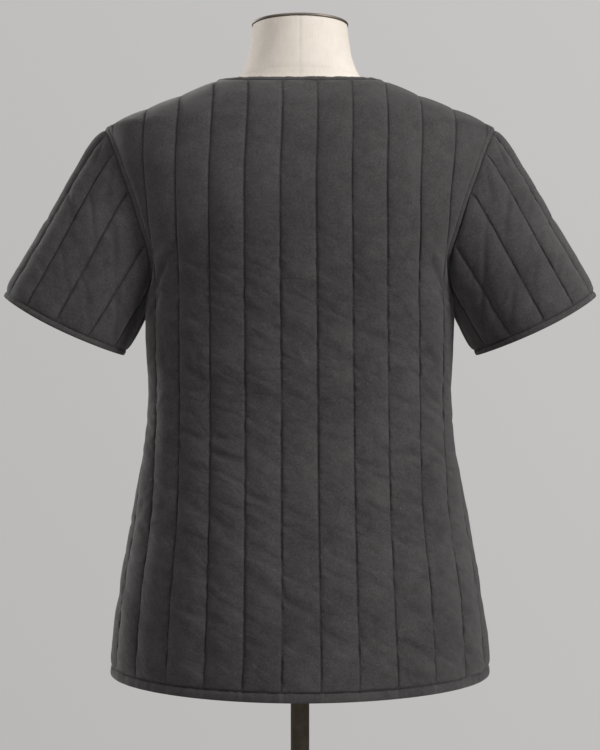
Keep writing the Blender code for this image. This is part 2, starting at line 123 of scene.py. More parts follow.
# Width of a channel up the body, the fanning of the outer ones over the skirt, and how the rows lean
CHANNELS = table(
    "height width lean",
    [
        (0, 43.4, -1.9),
        (87, 42.0, -1.5),
        (222, 41.2, -0.1),
        (356, 41.2, 0.4),
        (500, 40.8, 1.6),
        (590, 40.5, 2.0),
        (640, 40.3, 0.2),
        (650, 40.2, 0),
        (716, 40.2, 0),
    ],
)
CHANNEL_AT_NECK = 40.2
FAN = 7.2
FAN_FROM = 2.25
FAN_TOP = 215.0
FAN_RUN = 150.0
BODY_CHANNELS = 8.0
NECK_HALF_WIDTH = 97.5
NECK_BACK = 702.0
NECK_FRONT = 618.0
NECK_BAND = 6.25
NECK_CORNER = (NECK_HALF_WIDTH + NECK_BAND) / CHANNEL_AT_NECK
HEM_BAND = 11.0
CUFF_BAND = 7.0
BAND_PROUD = 0.6
LAP = -0.5  # channels that each front runs on past the middle
LAP_SINK = WALL + 1.0  # how far the right front goes under the left one
BUTTONS = 7
BUTTON_RISE = 3.7
BUTTON_RADIUS = 10.0
HOLE_OUT = 1.7
HOLE_RADIUS = 0.85
HOLE_DEPTH = 1.9
DISH_RINGS = 22
TOP_BUTTON = 596.0
BUTTON_SPACING = 88.0
ARMHOLE_REACH = 58.0
FRONT_REACH = 6.0
ARMHOLE_INSET = 1.6
TIP_GROWTH = 0.75
SLEEVE_START = 2.0
CUFF_CENTRE = (283.5, 415.0)
CUFF_OUTWARD = (0.894, 0.448)
CUFF_HALF_WIDTH = 79.0
CUFF_HALF_DEPTH = 73.0
CUFF_BOW = 4.0
SLEEVE_HEAD = 4.0
SLEEVE_CHANNELS = 12
SLEEVE_ROWS = 101
SLEEVE_TWIST = (math.radians(13.5), math.radians(3))  # once and twice round
HEAD_RUN = 0.2  # the share of a sleeve's length where its head stands highest
BAND_COLUMNS = 17  # stations of the hem's and neck's bands over each channel

# Quilting
PUFF = 4.2  # height of a channel over its stitching
STITCH_GRIP = 2.1  # how far the thread's pull reaches before the cloth turns over
HUG = 0.42  # how much of that height is gained close to the stitching
TUCK = 2.0  # how far a panel runs on under its bands
ROLL = 60.0  # the part of a panel that rolls over the shoulder
ROLL_ROWS = 34
EVEN_ROWS = 262
STITCH = 4.2
THREAD = 0.34

# Main creases: where each is (channels out, + to the wearer's left, and height), its length, how steeply it
# rises to the wearer's left in degrees, its depth (a ridge is above 0) and its width
CREASES = "channel height length slant depth width"
BACK_CREASES = table(
    CREASES,
    [
        (0.35, 107, 98, 27, -1.1, 4.5),
        (0.30, 117, 84, 28, 0.7, 6.0),
        (-1.95, 124, 52, 27, -0.9, 4.2),
        (-2.9, 168, 50, 20, -0.9, 4.0),
        (2.05, 80, 40, 31, -0.9, 4.0),
        (-3.0, 52, 48, 27, -0.9, 4.6),
        (3.0, 91, 36, 17, -0.7, 4.0),
        (3.05, 287, 46, 21, -1.1, 3.8),
        (2.0, 284, 44, 3, -0.9, 3.6),
        (2.0, 262, 46, 12, -1.0, 4.0),
        (-2.0, 253, 48, 12, -1.2, 3.8),
        (-3.0, 324, 44, 20, -1.0, 4.0),
        (-3.9, 330, 42, 44, -1.1, 4.5),
        (-3.9, 377, 46, 42, -1.0, 5.0),
        (-0.1, 374, 34, 58, 0.9, 4.0),
        (-0.9, 361, 36, 6, -0.8, 3.6),
        (0.0, 303, 38, 5, -0.7, 4.0),
        (-3.0, 266, 48, 10, -1.1, 4.0),
        (-3.05, 258, 40, 12, 0.8, 5.0),
        (3.0, 358, 42, 40, -0.8, 4.0),
        (-1.0, 283, 44, 10, -0.9, 4.0),
        (3.1, 254, 40, 33, -1.0, 4.2),
        (0.2, 334, 42, 24, -0.8, 4.4),
        (4.2, 327, 36, -48, 0.9, 5.0),
        (1.0, 216, 46, 14, -0.9, 4.0),
        (-1.0, 228, 44, 22, -0.9, 4.2),
        (2.1, 188, 44, 30, -0.8, 4.4),
        (-0.1, 176, 42, 18, -0.9, 4.0),
        (-1.1, 152, 50, 24, -0.8, 4.6),
        (3.2, 146, 46, 35, -0.9, 4.6),
        (-2.1, 205, 44, 26, -0.9, 4.2),
        (-3.1, 214, 44, 32, -1.0, 4.6),
        (-4.1, 268, 50, 40, -1.0, 5.0),
        (-4.2, 190, 54, 38, -1.0, 5.0),
        (-4.1, 118, 50, 36, -0.9, 5.0),
        (1.1, 58, 44, 20, -0.8, 4.4),
        (-1.0, 68, 46, 16, -0.8, 4.4),
        (4.3, 226, 50, 24, -0.9, 5.0),
        (4.6, 172, 50, 30, -0.8, 5.0),
        (5.1, 104, 56, 22, -0.9, 5.5),
        (5.2, 300, 44, 18, -0.8, 5.0),
        (-5.2, 302, 48, 30, -0.9, 5.0),
        (-5.3, 152, 60, 28, -0.9, 5.5),
        (1.0, 396, 40, 14, -0.6, 4.6),
        (-1.9, 404, 42, 18, -0.7, 4.4),
        (2.9, 418, 42, 34, -0.8, 4.6),
        (-2.9, 420, 42, -28, -0.8, 4.6),
        (4.2, 470, 64, -52, -1.5, 5.0),
        (4.45, 438, 48, -58, -1.2, 5.0),
        (3.8, 505, 54, -50, 0.9, 7.0),
        (-4.2, 470, 64, 52, -1.5, 5.0),
        (-4.45, 440, 50, 56, -1.2, 5.0),
        (-3.8, 505, 54, 50, 0.9, 7.0),
    ],
)
FRONT_CREASES = table(
    CREASES,
    [
        (1.1, 112, 60, -24, -1.0, 4.5),
        (2.0, 96, 46, -28, -0.9, 4.2),
        (3.1, 70, 50, -18, -0.9, 4.5),
        (-1.2, 92, 54, 26, -1.0, 4.5),
        (-2.1, 130, 46, 22, -0.9, 4.2),
        (-3.0, 60, 50, 30, -0.8, 4.6),
        (1.0, 222, 46, -14, -0.9, 4.0),
        (2.0, 262, 46, -12, -1.0, 4.0),
        (3.0, 246, 46, -28, -1.0, 4.2),
        (-1.1, 246, 46, 16, -1.0, 4.0),
        (-2.0, 212, 46, 20, -0.9, 4.0),
        (-3.1, 268, 48, 30, -1.0, 4.4),
        (1.0, 312, 44, -8, -0.8, 4.0),
        (2.1, 334, 44, -26, -0.9, 4.2),
        (3.1, 352, 44, -38, -0.9, 4.4),
        (-1.0, 332, 42, 10, -0.8, 4.0),
        (-2.1, 358, 44, 28, -0.9, 4.2),
        (-3.2, 340, 46, 40, -1.0, 4.4),
        (4.2, 300, 50, -30, -0.9, 5.0),
        (-4.2, 286, 50, 34, -0.9, 5.0),
        (4.4, 180, 54, -34, -0.9, 5.0),
        (-4.3, 196, 54, 30, -0.9, 5.0),
        (5.2, 110, 56, -24, -0.9, 5.5),
        (-5.2, 124, 56, 28, -0.9, 5.5),
        (0.0, 150, 40, 12, -0.6, 4.0),
        (0.1, 420, 36, -10, -0.5, 4.4),
        (1.9, 436, 50, -34, -0.7, 5.0),
        (-1.9, 448, 50, 30, -0.7, 5.0),
        (4.1, 476, 66, 50, -1.4, 5.0),
        (-4.1, 476, 66, -50, -1.4, 5.0),
        (4.4, 440, 48, 56, -1.1, 5.0),
        (-4.4, 442, 48, -54, -1.1, 5.0),
    ],
)
# On a sleeve: channels round from its top line, + behind, and how far down from the armhole
SLEEVE_CREASES = table(
    CREASES,
    [
        (1.0, 14, 34, 74, -1.1, 4.0),
        (2.0, 22, 40, 66, -1.2, 4.0),
        (3.0, 20, 44, 58, -1.1, 4.5),
        (0.0, 20, 36, 82, -0.8, 4.0),
        (-1.0, 18, 38, -72, -1.0, 4.0),
        (-2.0, 24, 42, -64, -1.1, 4.2),
        (2.0, 88, 48, 22, -0.9, 4.5),
        (3.0, 64, 50, 30, -1.0, 4.5),
        (1.0, 128, 46, 14, -0.7, 4.5),
        (4.0, 50, 48, 40, -1.3, 5.0),
        (4.9, 74, 50, 34, -1.2, 5.0),
        (3.0, 134, 44, 20, -0.8, 4.2),
        (2.1, 164, 40, 10, -0.7, 4.0),
        (4.1, 118, 44, 26, -0.9, 4.5),
        (-3.0, 60, 50, -34, -1.0, 4.6),
        (-4.0, 56, 50, -38, -1.2, 5.0),
        (-2.0, 112, 46, -18, -0.8, 4.4),
        (-1.0, 78, 46, -12, -0.7, 4.4),
        (0.0, 104, 44, 10, -0.7, 4.4),
        (-3.1, 132, 44, -24, -0.8, 4.4),
    ],
)


def smooth(at, places, values):
    """Cubic through a table's values, with each row's slope taken from its two neighbours."""
    slopes = np.gradient(values, places)
    i = np.clip(np.searchsorted(places, at) - 1, 0, len(places) - 2)
    step = places[i + 1] - places[i]
    t = np.clip((at - places[i]) / step, 0, 1)
    rise = values[i + 1] - values[i]
    start = slopes[i] * step
    end = slopes[i + 1] * step
    return values[i] + t * (start + t * (3 * rise - 2 * start - end + t * (start + end - 2 * rise)))


def ease(share):
    """From 0 to 1 with level ends."""
    share = np.clip(share, 0, 1)
    return share * share * (3 - 2 * share)


def bell(off, width):
    """1 in the middle, falling away as exp(-(off / width)^2)."""
    return np.exp(-((off / width) ** 2))


def half_width(height):
    """The body widens up to the shoulder tip and runs in along the shoulder seam above it."""
    rows = BODY["height"] <= SHOULDER_TIP
    below = smooth(height, BODY["height"][rows], BODY["half_width"][rows])
    rows = BODY["height"] >= SHOULDER_TIP
    above = smooth(height, BODY["height"][rows], BODY["half_width"][rows])
    return np.where(height <= SHOULDER_TIP, below, above)


def depth(height, side):
    """How far the body stands out behind ("back") or in front ("front") of the shoulder seams."""
    return smooth(height, BODY["height"], BODY[side])


def roundness(height):
    return smooth(height, BODY["height"], BODY["roundness"])


def channel_width(height, channel=0.0):
    """Width of a channel at this height; those nearest the sides widen towards the hem."""
    fan = FAN * ease((FAN_TOP - height) / FAN_RUN) * (np.abs(channel) > FAN_FROM)
    return np.interp(height, CHANNELS["height"], CHANNELS["width"]) + fan


def channel_distance(channel, height):
    """How far round the body a line lies that many channels from the middle."""
    fan = FAN * ease((FAN_TOP - height) / FAN_RUN)
    return np.abs(channel) * channel_width(height) + fan * np.clip(np.abs(channel) - FAN_FROM, 0, None)


def unit(vectors):
    return vectors / np.linalg.norm(vectors, axis=-1, keepdims=True)


def arc_turns(side):
    """For heights 2 mm apart and distances 1 mm apart walked round the section: the turn that is reached."""
    walked_to = np.arange(0, 361.0)
    turns = np.linspace(0, math.pi / 2, 241)
    rows = []
    for height in np.arange(0, 717.0, TURN_STEP):
        power = 2 / roundness(height)
        x = half_width(height) * np.sin(turns) ** power
        y = depth(height, side) * np.cos(turns) ** power
        walked = np.concatenate([[0], np.cumsum(np.hypot(np.diff(x), np.diff(y)))])
        rows.append(np.interp(walked_to, walked, turns))
    return np.array(rows)


ARC = {side: arc_turns(side) for side in ("back", "front")}


def sample(grid, row, column):
    """Value of a grid between its rows and columns."""
    row = np.clip(row, 0, grid.shape[0] - 1.001)
    column = np.clip(column, 0, grid.shape[1] - 1.001)
    i = row.astype(int)
    j = column.astype(int)
    a = row - i
    b = column - j
    upper = grid[i, j] * (1 - b) + grid[i, j + 1] * b
    lower = grid[i + 1, j] * (1 - b) + grid[i + 1, j + 1] * b
    return upper * (1 - a) + lower * a


def turn_at(x, height):
    """The turn round the section, a quarter of a circle at the side seam, where x is this."""
    share = np.clip(np.abs(x) / half_width(height), 0, 1)
    return np.sign(x) * np.arcsin(share ** (roundness(height) / 2))


def turn_of(channel, height, side, lean=0.0):
    """The turn of a line that many channels out: parallel rows that run straight over the shoulder."""
    channel, height = np.broadcast_arrays(np.asarray(channel, float), np.asarray(height, float))
    signed = np.sign(channel) * channel_distance(channel, height)
    signed = signed + lean * smooth(height, CHANNELS["height"], CHANNELS["lean"])
    distance = np.abs(signed)
    arc = sample(ARC[side], height / TURN_STEP, distance)
    wide = half_width(height)
    rise = ease((height - STRAIGHT_FROM) / (STRAIGHT_AT - STRAIGHT_FROM))
    arc_x = wide * np.sin(arc) ** (2 / roundness(height))
    x = (1 - rise) * arc_x + rise * np.minimum(distance, wide)
    return np.sign(signed) * np.where(rise > 0, np.abs(turn_at(x, height)), arc)


def on_body(turn, height, side):
    """The section's point x = a sin(turn)^(2/n), y = b cos(turn)^(2/n), and the way it faces."""
    sign = 1 if side == "back" else -1
    wide = half_width(height)
    deep = depth(height, side)
    power = roundness(height)
    sine = np.abs(np.sin(turn))
    cosine = np.clip(np.cos(turn), 0, 1)
    x = np.sign(turn) * wide * sine ** (2 / power)
    y = deep * cosine ** (2 / power)
    nudge = 0.5
    widening = (half_width(height + nudge) - half_width(height - nudge)) / (2 * nudge)
    deepening = (depth(height + nudge, side) - depth(height - nudge, side)) / (2 * nudge)
    faces_x = np.sign(turn) * sine ** (2 * (power - 1) / power) / wide
    faces_y = sign * cosine ** (2 * (power - 1) / power) / deep
    faces_z = -(sine**2 * widening / wide + cosine**2 * deepening / deep)
    height = np.broadcast_to(height, x.shape)
    return np.stack([x, sign * y, height], axis=-1), unit(np.stack([faces_x, faces_y, faces_z], axis=-1))


def shoulder_height(x):
    heights = np.linspace(SHOULDER_TIP, BODY["height"][-1], 2001)
    return np.interp(-np.abs(x), -half_width(heights), heights)


def top_edge(x, side, grow):
    """Height of a panel's upper edge: the neckline, made wider and lower by grow, then the shoulder seam."""
    reach = NECK_HALF_WIDTH + grow
    corner = shoulder_height(reach)
    share = np.clip(np.abs(x) / reach, 0, 1)
    if side == "back":
        neck = NECK_BACK - grow + (corner - NECK_BACK + grow) * share**2
    else:
        neck = corner - (corner - NECK_FRONT + grow) * (1 - share**2.5) ** 0.5
    return np.where(np.abs(x) < reach, neck, shoulder_height(x))


def neck_place(channel, side, grow):
    """Turn and height where a column meets the neckline, or the neckline grown by the neck band's width."""
    reach = NECK_HALF_WIDTH + grow
    across = np.asarray(channel) / NECK_CORNER * reach
    height = top_edge(across, side, grow)
    return turn_of(across / CHANNEL_AT_NECK, height, side), height


def armhole_angle(height, grow=0.0):
    """The place on the armhole at this height: 0 at the shoulder tip and pi under the arm."""
    top = SHOULDER_TIP + TIP_GROWTH * grow
    bottom = UNDERARM - grow
    return np.arccos(np.clip((2 * height - top - bottom) / (top - bottom), -1, 1))


def armhole_depth(angle, side):
    reach = ARMHOLE_REACH - 8 * np.cos(angle) - 5 * np.cos(angle) ** 2
    if side == "front":
        reach = reach + FRONT_REACH
    return reach * np.sin(angle)


def side_turn(y, height, side):
    """The turn where the section has this depth y."""
    share = np.clip(y / depth(height, side), 0, 1)
    return np.arccos(share ** (roundness(height) / 2))


def panel_edge(height, side, inset=ARMHOLE_INSET):
    """The turn of a panel's outer edge: the side seam, then the armhole, cut a little inside the loop."""
    y = armhole_depth(armhole_angle(height, inset), side) * (1 + inset / ARMHOLE_REACH)
    y = np.where(height > UNDERARM - inset, y, 0)
    return np.where(height > SHOULDER_TIP + TIP_GROWTH * inset, np.inf, side_turn(y, height, side))


def from_stitching(channel, width):
    """Distance to the nearest row of stitching."""
    return np.abs(channel - 0.5 - np.round(channel - 0.5)) * width


def noise(u, v, seed):
    """Smooth heights from -1 to 1: a lattice of seeded numbers, eased from corner to corner."""
    u, v = np.broadcast_arrays(np.asarray(u, float), np.asarray(v, float))
    lattice = np.random.default_rng(seed).uniform(-1, 1, (128, 128))
    i = np.floor(u).astype(int)
    j = np.floor(v).astype(int)
    a = ease(u - i)
    b = ease(v - j)
    near = lattice[i % 128, j % 128] * (1 - b) + lattice[i % 128, (j + 1) % 128] * b
    far = lattice[(i + 1) % 128, j % 128] * (1 - b) + lattice[(i + 1) % 128, (j + 1) % 128] * b
    return near * (1 - a) + far * a


def creases(across, height, rows, width):
    """Soft troughs and ridges: each its depth times a bell across it, fading to nothing at its two ends."""
    total = np.zeros(np.broadcast(across, height).shape)
    for row in rows:
        slant = math.radians(row["slant"])
        x = (across - row["channel"]) * width
        y = height - row["height"]
        along = x * math.cos(slant) + y * math.sin(slant)
        bow = 2.5 * (2 * along / row["length"]) ** 2
        off = y * math.cos(slant) - x * math.sin(slant) - bow
        reach = ease(1.25 - np.abs(along) / row["length"] * 2)
        total += row["depth"] * reach * bell(off, row["width"])
    return total


def quilting(across, height, width, to_edge, seed, folds, crumple, lean):
    """How far the cloth stands out, in mm, and how creased it is.

    Beside the stitching it rises as 1 - exp(-d / grip), then on as a shallow crown to the channel's middle.
    Its fullness wanders along the channel, short puckers run out from the stitching, and soft creases lie
    across at a lean. All of it is pinned at the stitching and dies away at a seam.
    """
    line = np.round(across - 0.5)
    off = (across - 0.5 - line) * width
    gap = np.abs(off)
    number = np.floor(across + 0.5)
    hug = 1 - np.exp(-gap / STITCH_GRIP)
    crown = 1 - (1 - np.clip(2 * gap / width, 0, 1)) ** 2
    fullness = 1 + 0.17 * noise(height / 80, number * 5.31, seed)
    fullness = fullness + 0.1 * noise(height / 31, number * 3.7, seed + 1)
    swell = PUFF * fullness * (HUG * hug + (1 - HUG) * crown)
    beside = line * 2 + (off > 0)
    pucker = noise((height + 0.45 * gap) / 6.5, beside * 3.71, seed + 2)
    pucker += 0.7 * noise((height - 0.3 * gap) / 13, beside * 5.13, seed + 3)
    pucker *= 1.15 * np.exp(-gap / 6.5) * np.clip(gap / 1.5, 0, 1)
    slope = height - lean * across * width
    drift = 7 * noise(height / 60, across * 0.7, seed + 4)
    soft = noise((slope + drift) / 21, across * width / 62 + number * 0.23, seed + 5)
    fine = noise((slope - drift) / 9.5, across * width / 23 + number * 1.7, seed + 6)
    lines = noise((slope + drift) / 27, across * width / 70 + number * 0.31, seed + 7)
    crease = 0.75 * soft + 0.32 * fine - 1.15 * bell(lines, 0.10) * ease(0.55 + 1.2 * soft)
    crease = crease * crumple + 1.4 * creases(across, height, folds, width)
    fade = 1 - np.exp(-np.clip(to_edge, 0, None) / 5.0)
    tucked = 1.3 * ease(-to_edge / TUCK)
    return fade * (swell + pucker * (0.45 + 0.55 * crumple) + hug * crease) - tucked, crease


def quilt_columns(first, last):
    """Columns from first to last, in channels: close at the stitching and wider apart between."""
    offsets = np.array([0, 0.014, 0.033, 0.061, 0.103, 0.165, 0.247, 0.341, 0.427])
    offsets = np.concatenate([-offsets[:0:-1], offsets, [0.5]])
    lines = np.arange(math.floor(first) - 1, math.ceil(last) + 1) + 0.5
    columns = (lines[:, None] + offsets).ravel()
    inside = columns[(columns > first + 0.01) & (columns < last - 0.01)]
    return np.concatenate([[first], inside, [last]])


def to_odd(columns):
    """The same columns with one more between the last two, if needed, so that their number is odd."""
    if len(columns) % 2:
        return columns
    return np.concatenate([columns[:-1], [(columns[-2] + columns[-1]) / 2], columns[-1:]])


def place(points):
    """From the garment's millimetres above the hem to metres above the floor."""
    return (np.asarray(points, float) + (0, 0, HEM)) * MM


def cells(corner, ring=False):
    """A grid's faces as rows of four corner numbers, its last column joined to its first for a ring."""
    if ring:
        corner = np.concatenate([corner, corner[:, :1]], axis=1)
    faces = np.stack([corner[:-1, :-1], corner[:-1, 1:], corner[1:, 1:], corner[1:, :-1]], axis=-1)
    return faces.reshape(-1, 4)


def clean(quads):
    """The true quads, and the triangles left where two neighbouring corners are one."""
    same = quads == np.roll(quads, -1, axis=1)
    whole = quads[~same.any(axis=1)]
    once = same.sum(axis=1) == 1
    picked = quads[once]
    drop = np.argmax(same[once], axis=1)
    keep = (drop[:, None] + np.array([1, 2, 3])) % 4
    triangles = np.take_along_axis(picked, keep, axis=1)
    return whole, triangles


def build(name, points, quads, triangles, surface, attributes=(), uv=None):
    """One closed mesh from its points and faces, turned to face outwards by the sign of its volume."""
    used, index = np.unique(np.concatenate([quads.ravel(), triangles.ravel()]), return_inverse=True)
    points = place(points[used])
    attributes = {key: values[used] for key, values in dict(attributes).items()}
    uv = None if uv is None else uv[used]
    quads = index[: quads.size].reshape(-1, 4)
    triangles = index[len(index) - triangles.size :].reshape(-1, 3)
    three = np.concatenate([quads[:, [0, 1, 2]], quads[:, [0, 2, 3]], triangles])
    middle = points.mean(axis=0)
    if np.linalg.det(points[three] - middle).sum() < 0:
        quads = quads[:, ::-1]
        triangles = triangles[:, ::-1]
    loops = np.concatenate([quads.ravel(), triangles.ravel()]).astype(np.int32)
    starts = np.concatenate([np.arange(len(quads)) * 4, len(quads) * 4 + np.arange(len(triangles)) * 3])
    mesh = bpy.data.meshes.new(name)
    mesh.vertices.add(len(points))
    mesh.vertices.foreach_set("co", points.astype(np.float32).ravel())
    mesh.loops.add(len(loops))
    mesh.loops.foreach_set("vertex_index", loops)
    mesh.polygons.add(len(starts))
    mesh.polygons.foreach_set("loop_start", starts.astype(np.int32))
    mesh.update(calc_edges=True)
    for key, values in attributes.items():
        layer = mesh.attributes.new(key, "FLOAT", "POINT")
        layer.data.foreach_set("value", values.astype(np.float32))
    if uv is not None:
        mesh.uv_layers.new(name="cut").data.foreach_set("uv", (uv[loops] * MM).astype(np.float32).ravel())
    mesh.shade_smooth()
    mesh.set_sharp_from_angle(angle=math.radians(62))
    mesh.materials.append(surface)
    made = bpy.data.objects.new(name, mesh)
    bpy.context.scene.collection.objects.link(made)
    return made


def rim(outer, inner):
    """Triangles between an outer edge and an inner edge with half as many points, both in the same order."""
    a, b, c = outer[0::2], outer[1::2], np.roll(outer[0::2], -1)
    p, q = inner, np.roll(inner, -1)
    faces = np.concatenate([np.stack([b, a, p], -1), np.stack([c, b, q], -1), np.stack([b, p, q], -1)])
    return faces[(faces != np.roll(faces, -1, axis=1)).all(axis=1)]


def boundary(corner):
    """The corner numbers round a grid's edge."""
    return np.concatenate([corner[0, :-1], corner[:-1, -1], corner[-1, :0:-1], corner[:0:-1, 0]])


def shell(name, outer, inner, surface, attributes, uv, ring=False, start=0, end=None):
    """A closed wall: a fine outer grid, every second row and column of an inner grid, and the rims between.

    Each row runs from its start column to its end column, and the points beyond are gathered at those two.
    """
    rows, columns = outer.shape[:2]
    start = np.broadcast_to(start, rows)
    end = np.full(rows, columns) if end is None else end
    corner = np.clip(np.arange(columns)[None], start[:, None], end[:, None])
    corner = np.arange(rows)[:, None] * columns + corner
    coarse = inner[::2, ::2]
    wide = coarse.shape[1]
    low = start[::2] // 2
    high = (end[::2] + 1) // 2
    inner_corner = np.clip(np.arange(wide)[None], low[:, None], high[:, None])
    inner_corner = rows * columns + np.arange(len(coarse))[:, None] * wide + inner_corner
    faces, corners = clean(np.concatenate([cells(corner, ring), cells(inner_corner, ring)[:, ::-1]]))
    if ring:
        last = np.concatenate([corner[-1, :1], corner[-1, :0:-1]])
        inner_last = np.concatenate([inner_corner[-1, :1], inner_corner[-1, :0:-1]])
        edges = np.concatenate([rim(corner[0], inner_corner[0]), rim(last, inner_last)])
    else:
        edges = rim(boundary(corner), boundary(inner_corner))
    points = np.concatenate([outer.reshape(-1, 3), coarse.reshape(-1, 3)])
    both = {key: np.concatenate([v.ravel(), v[::2, ::2].ravel()]) for key, v in attributes.items()}
    flat = np.concatenate([uv.reshape(-1, 2), uv[::2, ::2].reshape(-1, 2)])
    return build(name, points, faces, np.concatenate([corners, edges]), surface, both, flat)


def tube(name, sections, surface, attributes=(), uv=None, ring=False):
    """A bar: one section's points carried along its stations, closed by its ends or into a ring."""
    stations, around = sections.shape[:2]
    corner = np.arange(stations * around).reshape(stations, around)
    if ring:
        corner = np.concatenate([corner, corner[:1]])
        ends = np.empty((0, 3), int)
    else:
        fan = np.arange(1, around - 1)
        start = np.stack([corner[0, 0] + 0 * fan, corner[0, fan + 1], corner[0, fan]], -1)
        finish = np.stack([corner[-1, 0] + 0 * fan, corner[-1, fan], corner[-1, fan + 1]], -1)
        ends = np.concatenate([start[:, ::-1], finish[:, ::-1]])
    quads = cells(corner, True)
    flat = {key: values.ravel() for key, values in dict(attributes).items()}
    cut = None if uv is None else uv.reshape(-1, 2)
    return build(name, sections.reshape(-1, 3), quads, ends, surface, flat, cut)


def walked(points, axis):
    """Distance walked over a grid of points along one axis."""
    steps = np.linalg.norm(np.diff(points, axis=axis), axis=-1)
    start = np.zeros_like(np.take(steps, [0], axis=axis))
    return np.cumsum(np.concatenate([start, steps], axis=axis), axis=axis)


def thread_run(points, facing):
    """Where each stitch of one row lies: its middle, its direction and the way it faces."""
    length = np.concatenate([[0], np.cumsum(np.linalg.norm(np.diff(points, axis=0), axis=1))])
    at = np.arange(STITCH, length[-1] - STITCH, STITCH)
    ends = [np.stack([np.interp(at + s, length, p) for p in points.T], -1) for s in (-0.5, 0.5)]
    middle = np.stack([np.interp(at, length, p) for p in points.T], -1)
    up = np.stack([np.interp(at, length, p) for p in facing.T], -1)
    return middle, unit(ends[1] - ends[0]), unit(up)


def stitches(name, runs, surface, length=STITCH * 0.74, radius=THREAD):
    """Short bars of thread, four-sided, thinner and lower at their ends, one for each stitch of each row."""
    middle, along, up = (np.concatenate(part) for part in zip(*runs))
    across = unit(np.cross(along, up))
    up = np.cross(across, along)
    t = np.array([-0.5, -0.24, 0.24, 0.5])
    thick = np.array([0.35, 1.0, 1.0, 0.35])
    lift = np.array([-0.45, 0.1, 0.1, -0.45])
    turn = np.arange(4) * math.pi / 2
    side = thick[:, None] * np.cos(turn) * radius
    rise = (thick[:, None] * np.sin(turn) + lift[:, None]) * radius
    points = middle[:, None, None] + along[:, None, None] * (t * length)[:, None, None]
    points = points + across[:, None, None] * side[..., None] + up[:, None, None] * rise[..., None]
    corner = np.arange(points.shape[0] * 16).reshape(-1, 4, 4)
    nxt = np.roll(corner, -1, axis=2)
    quads = np.stack([corner[:, :-1], nxt[:, :-1], nxt[:, 1:], corner[:, 1:]], -1).reshape(-1, 4)
    quads = np.concatenate([quads, corner[:, 0, ::-1], corner[:, 3]])
    return build(name, points.reshape(-1, 3), quads, np.empty((0, 3), int), surface)


def panel_rows(top, share_of_neck):
    """A panel's rows down a column: close where it rolls over the shoulder, then even to the hem band."""
    power = 1.25 + 0.75 * share_of_neck
    rolled = top - ROLL * (np.arange(ROLL_ROWS)[:, None] / ROLL_ROWS) ** power
    low = HEM_BAND - TUCK
    even = low + (top - ROLL - low) * (1 - np.arange(EVEN_ROWS + 1)[:, None] / EVEN_ROWS)
    return np.concatenate([rolled, even])


def sink(channel, sign):
    """How far the right front goes under the left one near the centre."""
    if sign > 0:
        return np.zeros_like(channel)
    return LAP_SINK * ease((1.0 - channel) / 0.4)


def under_neck(channel):
    """How far a column runs on under the neck band: nothing beyond the neckline's corner."""
    return TUCK * ease((NECK_CORNER - np.abs(channel)) / 0.35)


def column_rows(channel, side):
    """The heights of a panel's rows down each column, from the neckline or shoulder seam to the hem."""
    top = neck_place(channel, side, NECK_BAND - under_neck(channel))[1]
    return panel_rows(top, ease(np.abs(channel) / NECK_CORNER))


